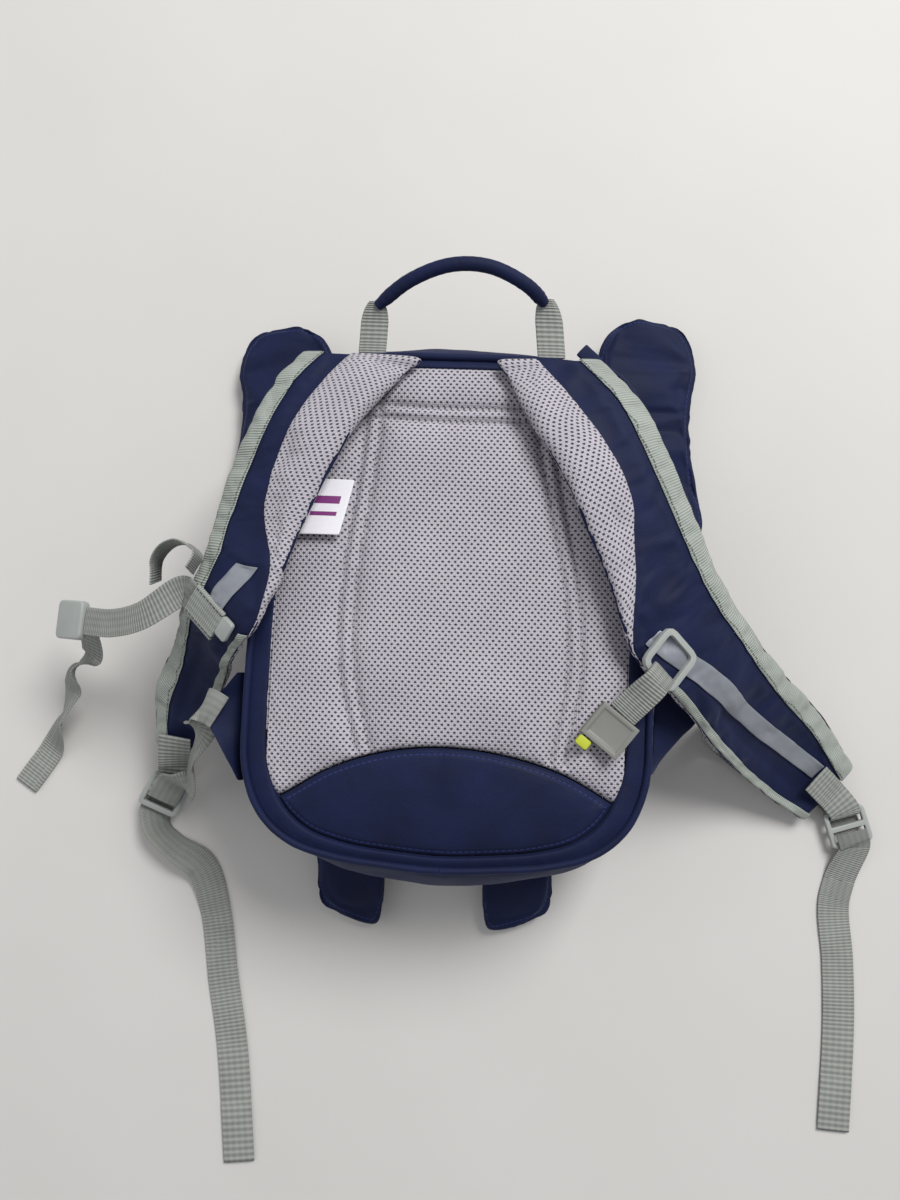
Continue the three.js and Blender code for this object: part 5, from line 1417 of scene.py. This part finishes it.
def make_handle_web(title, node, side):
    end = grip_line[0] if side < 0 else grip_line[-1]
    x = side * HANDLE_SPAN / 2
    foot = HALF_HEIGHT + 1.2
    rows = []
    for share, lift, swing in HANDLE_WEB_ROWS:
        y = foot + (end[1] + 3.2 - foot) * share
        rows.append((x + (end[0] * 1.01 - x) * swing, y, PACK_DEPTH + lift, 1, 0, 0))
    points = [np.array(row[0:3], float) for row in rows]

    def place(across, along):
        here = Vector(through(points, along))
        ahead = Vector(through(points, along + 0.01) - through(points, along - 0.01)).normalized()
        up = Vector((1, 0, 0)).cross(ahead).normalized()
        narrow = 1 - 0.5 * max(0, (along - 0.5) / 0.5) ** 1.5
        reach, rise = band_section(across)
        cup = 2.2 * (along ** 2) * (1 - reach * reach)
        return here + Vector((1, 0, 0)) * reach * (HANDLE_WEB / 2) * narrow + up * (rise * 1.3 + cup)

    piece = cloth_grid(title, place, 28, 36, (HANDLE_WEB, HANDLE_WEB_LENGTH), weld=True)
    span_cloth(piece, HANDLE_WEB)
    close_ends(piece)
    dress(piece, WEBBING, [node], levels=1)


make_handle_web("handle_loop_left", "handle_web_left", -1)
make_handle_web("handle_loop_right", "handle_web_right", 1)

# The chest strap's right half: a plastic frame that the doubled webbing runs through, and the
# socket of the buckle, with the mouth of a small whistle moulded beside it.
moulded("chest_frame", "chest_frame_right", GREY_PLASTIC, 0.9)
webbing("chest_web_short", "chest_web_right", (
    (116.61, -30.55, 123.25, 0.67, -0.63, -0.4), (112.15, -36.34, 124.83, 0.67, -0.63, -0.4),
    (103.46, -46.29, 118.6, 0.79, -0.61, 0), (96.36, -54.44, 113.5, 0.79, -0.61, 0),
), width=17, thick=2.8, stations=40)
SOCKET_SIZE = (21, 25, 7)
SOCKET_MIDDLE = (89.34, -63.55, 113.5)
DULL_PLASTIC = plain_plastic("dull_grey_nylon", colour(128, 128, 122), 0.42)
bm = bmesh.new()
bmesh.ops.create_cube(bm, size=1)
bmesh.ops.scale(bm, vec=Vector(SOCKET_SIZE) * MM, verts=bm.verts)
windows = [face for face in bm.faces if abs(face.normal.y) > 0.9]
bmesh.ops.inset_individual(bm, faces=windows, thickness=1.7 * MM, depth=-2.4 * MM)
mouth = [face for face in bm.faces if face.normal.x > 0.9]
bmesh.ops.inset_individual(bm, faces=mouth, thickness=1.5 * MM, depth=-5 * MM)
crown = [face for face in bm.faces if face.normal.z > 0.9 and face.calc_area() > 1e-4]
bmesh.ops.inset_individual(bm, faces=crown, thickness=3.4 * MM, depth=0)
bmesh.ops.inset_individual(bm, faces=crown, thickness=1.2 * MM, depth=-0.9 * MM)
bmesh.ops.bevel(
    bm, geom=bm.edges, offset=0.55 * MM, affect="EDGES", segments=3, profile=0.5, material=-1,
)
ahead, sideways = Vector((-0.61, -0.79, 0)).normalized(), Vector((0.79, -0.61, 0)).normalized()
turned = Matrix((ahead, sideways, ahead.cross(sideways))).transposed().to_4x4()
placed = Matrix.Translation(Vector(SOCKET_MIDDLE) * MM) @ turned
bmesh.ops.transform(bm, matrix=placed, verts=bm.verts)
bmesh.ops.recalc_face_normals(bm, faces=bm.faces)
dress(new_object("buckle_socket", bm), DULL_PLASTIC, ["chest_socket_right"], levels=0)
YELLOW_PLASTIC = plain_plastic("yellow_nylon", colour(196, 204, 60), 0.3)
moulded("whistle_mouth", "chest_whistle_right", YELLOW_PLASTIC, 0.8)

# The chest strap's left half: a box-stitched loop on the strap with a plastic keeper, webbing
# that stands off to the side, a spare arch of it, the plug of the buckle and a twisted tail.
webbing("stitched_loop", "chest_loop_left", (
    (-128.32, -16.2, 115.85, -0.51, -0.74, -0.43), (-137.19, -8.07, 112.35, -0.51, -0.74, -0.43),
    (-146.06, 0.06, 108.85, -0.51, -0.74, -0.43),
), thick=2.8, stations=24, material=STITCHED)
moulded("web_keeper", "chest_keeper_left", GREY_PLASTIC, 0.6)
webbing("chest_web_long", "chest_web_left", (
    (-146.27, 0.22, 108.79, -0.51, -0.74, -0.43), (-150.53, 4.11, 107.13, -0.51, -0.74, -0.43),
    (-179.27, -10.78, 95.74, 0.03, -1, 0), (-201.27, -15.18, 82.68, -0.03, -1, 0),
    (-223.27, -14.08, 69.63, -0.1, -0.99, 0),
), width=17)
webbing("chest_arch", "chest_arch_left", (
    (-172.41, 8.93, 95.19, 0, 0, 1), (-170.87, 21.36, 98.59, 0, 0, 1),
    (-162.79, 29.14, 105.39, 0, 0, 1), (-151.64, 30.32, 112.19, 0, 0, 1),
    (-141.82, 23.2, 117.29, 0, 0, 1), (-144.95, 14.14, 118.99, 0, 0, 1),
), width=17)
moulded("buckle_plug", "chest_plug_left", GREY_PLASTIC, 1.3, 4)
webbing("chest_tail", "chest_tail_left", (
    (-231.01, -18.49, 56.81, 0.86, -0.04, 0.51), (-230.77, -13.7, 56.81, 0.86, -0.04, 0.51),
    (-234.37, -35.3, 32.51, 0.93, -0.21, 0.31), (-242.77, -42.5, 34.78, 0.31, 0.1, 0.94),
    (-248.77, -56.9, 24.56, 0.84, 0.11, 0.53), (-258.37, -77.3, 15.47, 0.36, -0.1, 0.93),
    (-269.17, -97.7, 2.4, 0.86, -0.5, 0.1), (-285.97, -124.1, 0.9, 0.84, -0.54, 0),
), width=17, stations=130, hem=12)

# The side label: a small piece of white satin with two plain plum bars, sewn under the left
# strap's neck edge so that it lies on the pad.
LABEL_WIDTH = 25
LABEL_HEIGHT = 32
LABEL_SLANT = 0.22
low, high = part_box("side_label")
label_top = high.y / MM
label_left = low.x / MM + LABEL_HEIGHT * LABEL_SLANT


def label_place(across, along):
    y = label_top - along * LABEL_HEIGHT
    x = label_left + across * LABEL_WIDTH - along * LABEL_HEIGHT * LABEL_SLANT
    curl = 1.6 * along ** 2 * (0.4 + across) + 0.5 * math.sin(across * 3.1)
    return Vector((x, y, PACK_DEPTH + 8.6 + curl))


SATIN = Finish("white_satin")
across, along = SATIN.thread()
bars = (abs(along - 12 * MM) < 2.2 * MM) + (abs(along - 20 * MM) < 1.2 * MM)
inside = abs(across - LABEL_WIDTH / 2 * MM) < 7.5 * MM
thread = along.wave(0.7 * MM)
SATIN.set(
    Base_Color=SATIN.blend(bars * inside, colour(232, 230, 234), colour(120, 42, 112)),
    Roughness=0.42 + thread * 0.15,
    Normal=SATIN.bump(thread, 0.0001, 0.5),
)
label = cloth_grid("side_tag", label_place, 12, 16, (LABEL_WIDTH, LABEL_HEIGHT))
dress(label, SATIN.material, ["side_label"], wall=0.35, levels=1, offset=0)
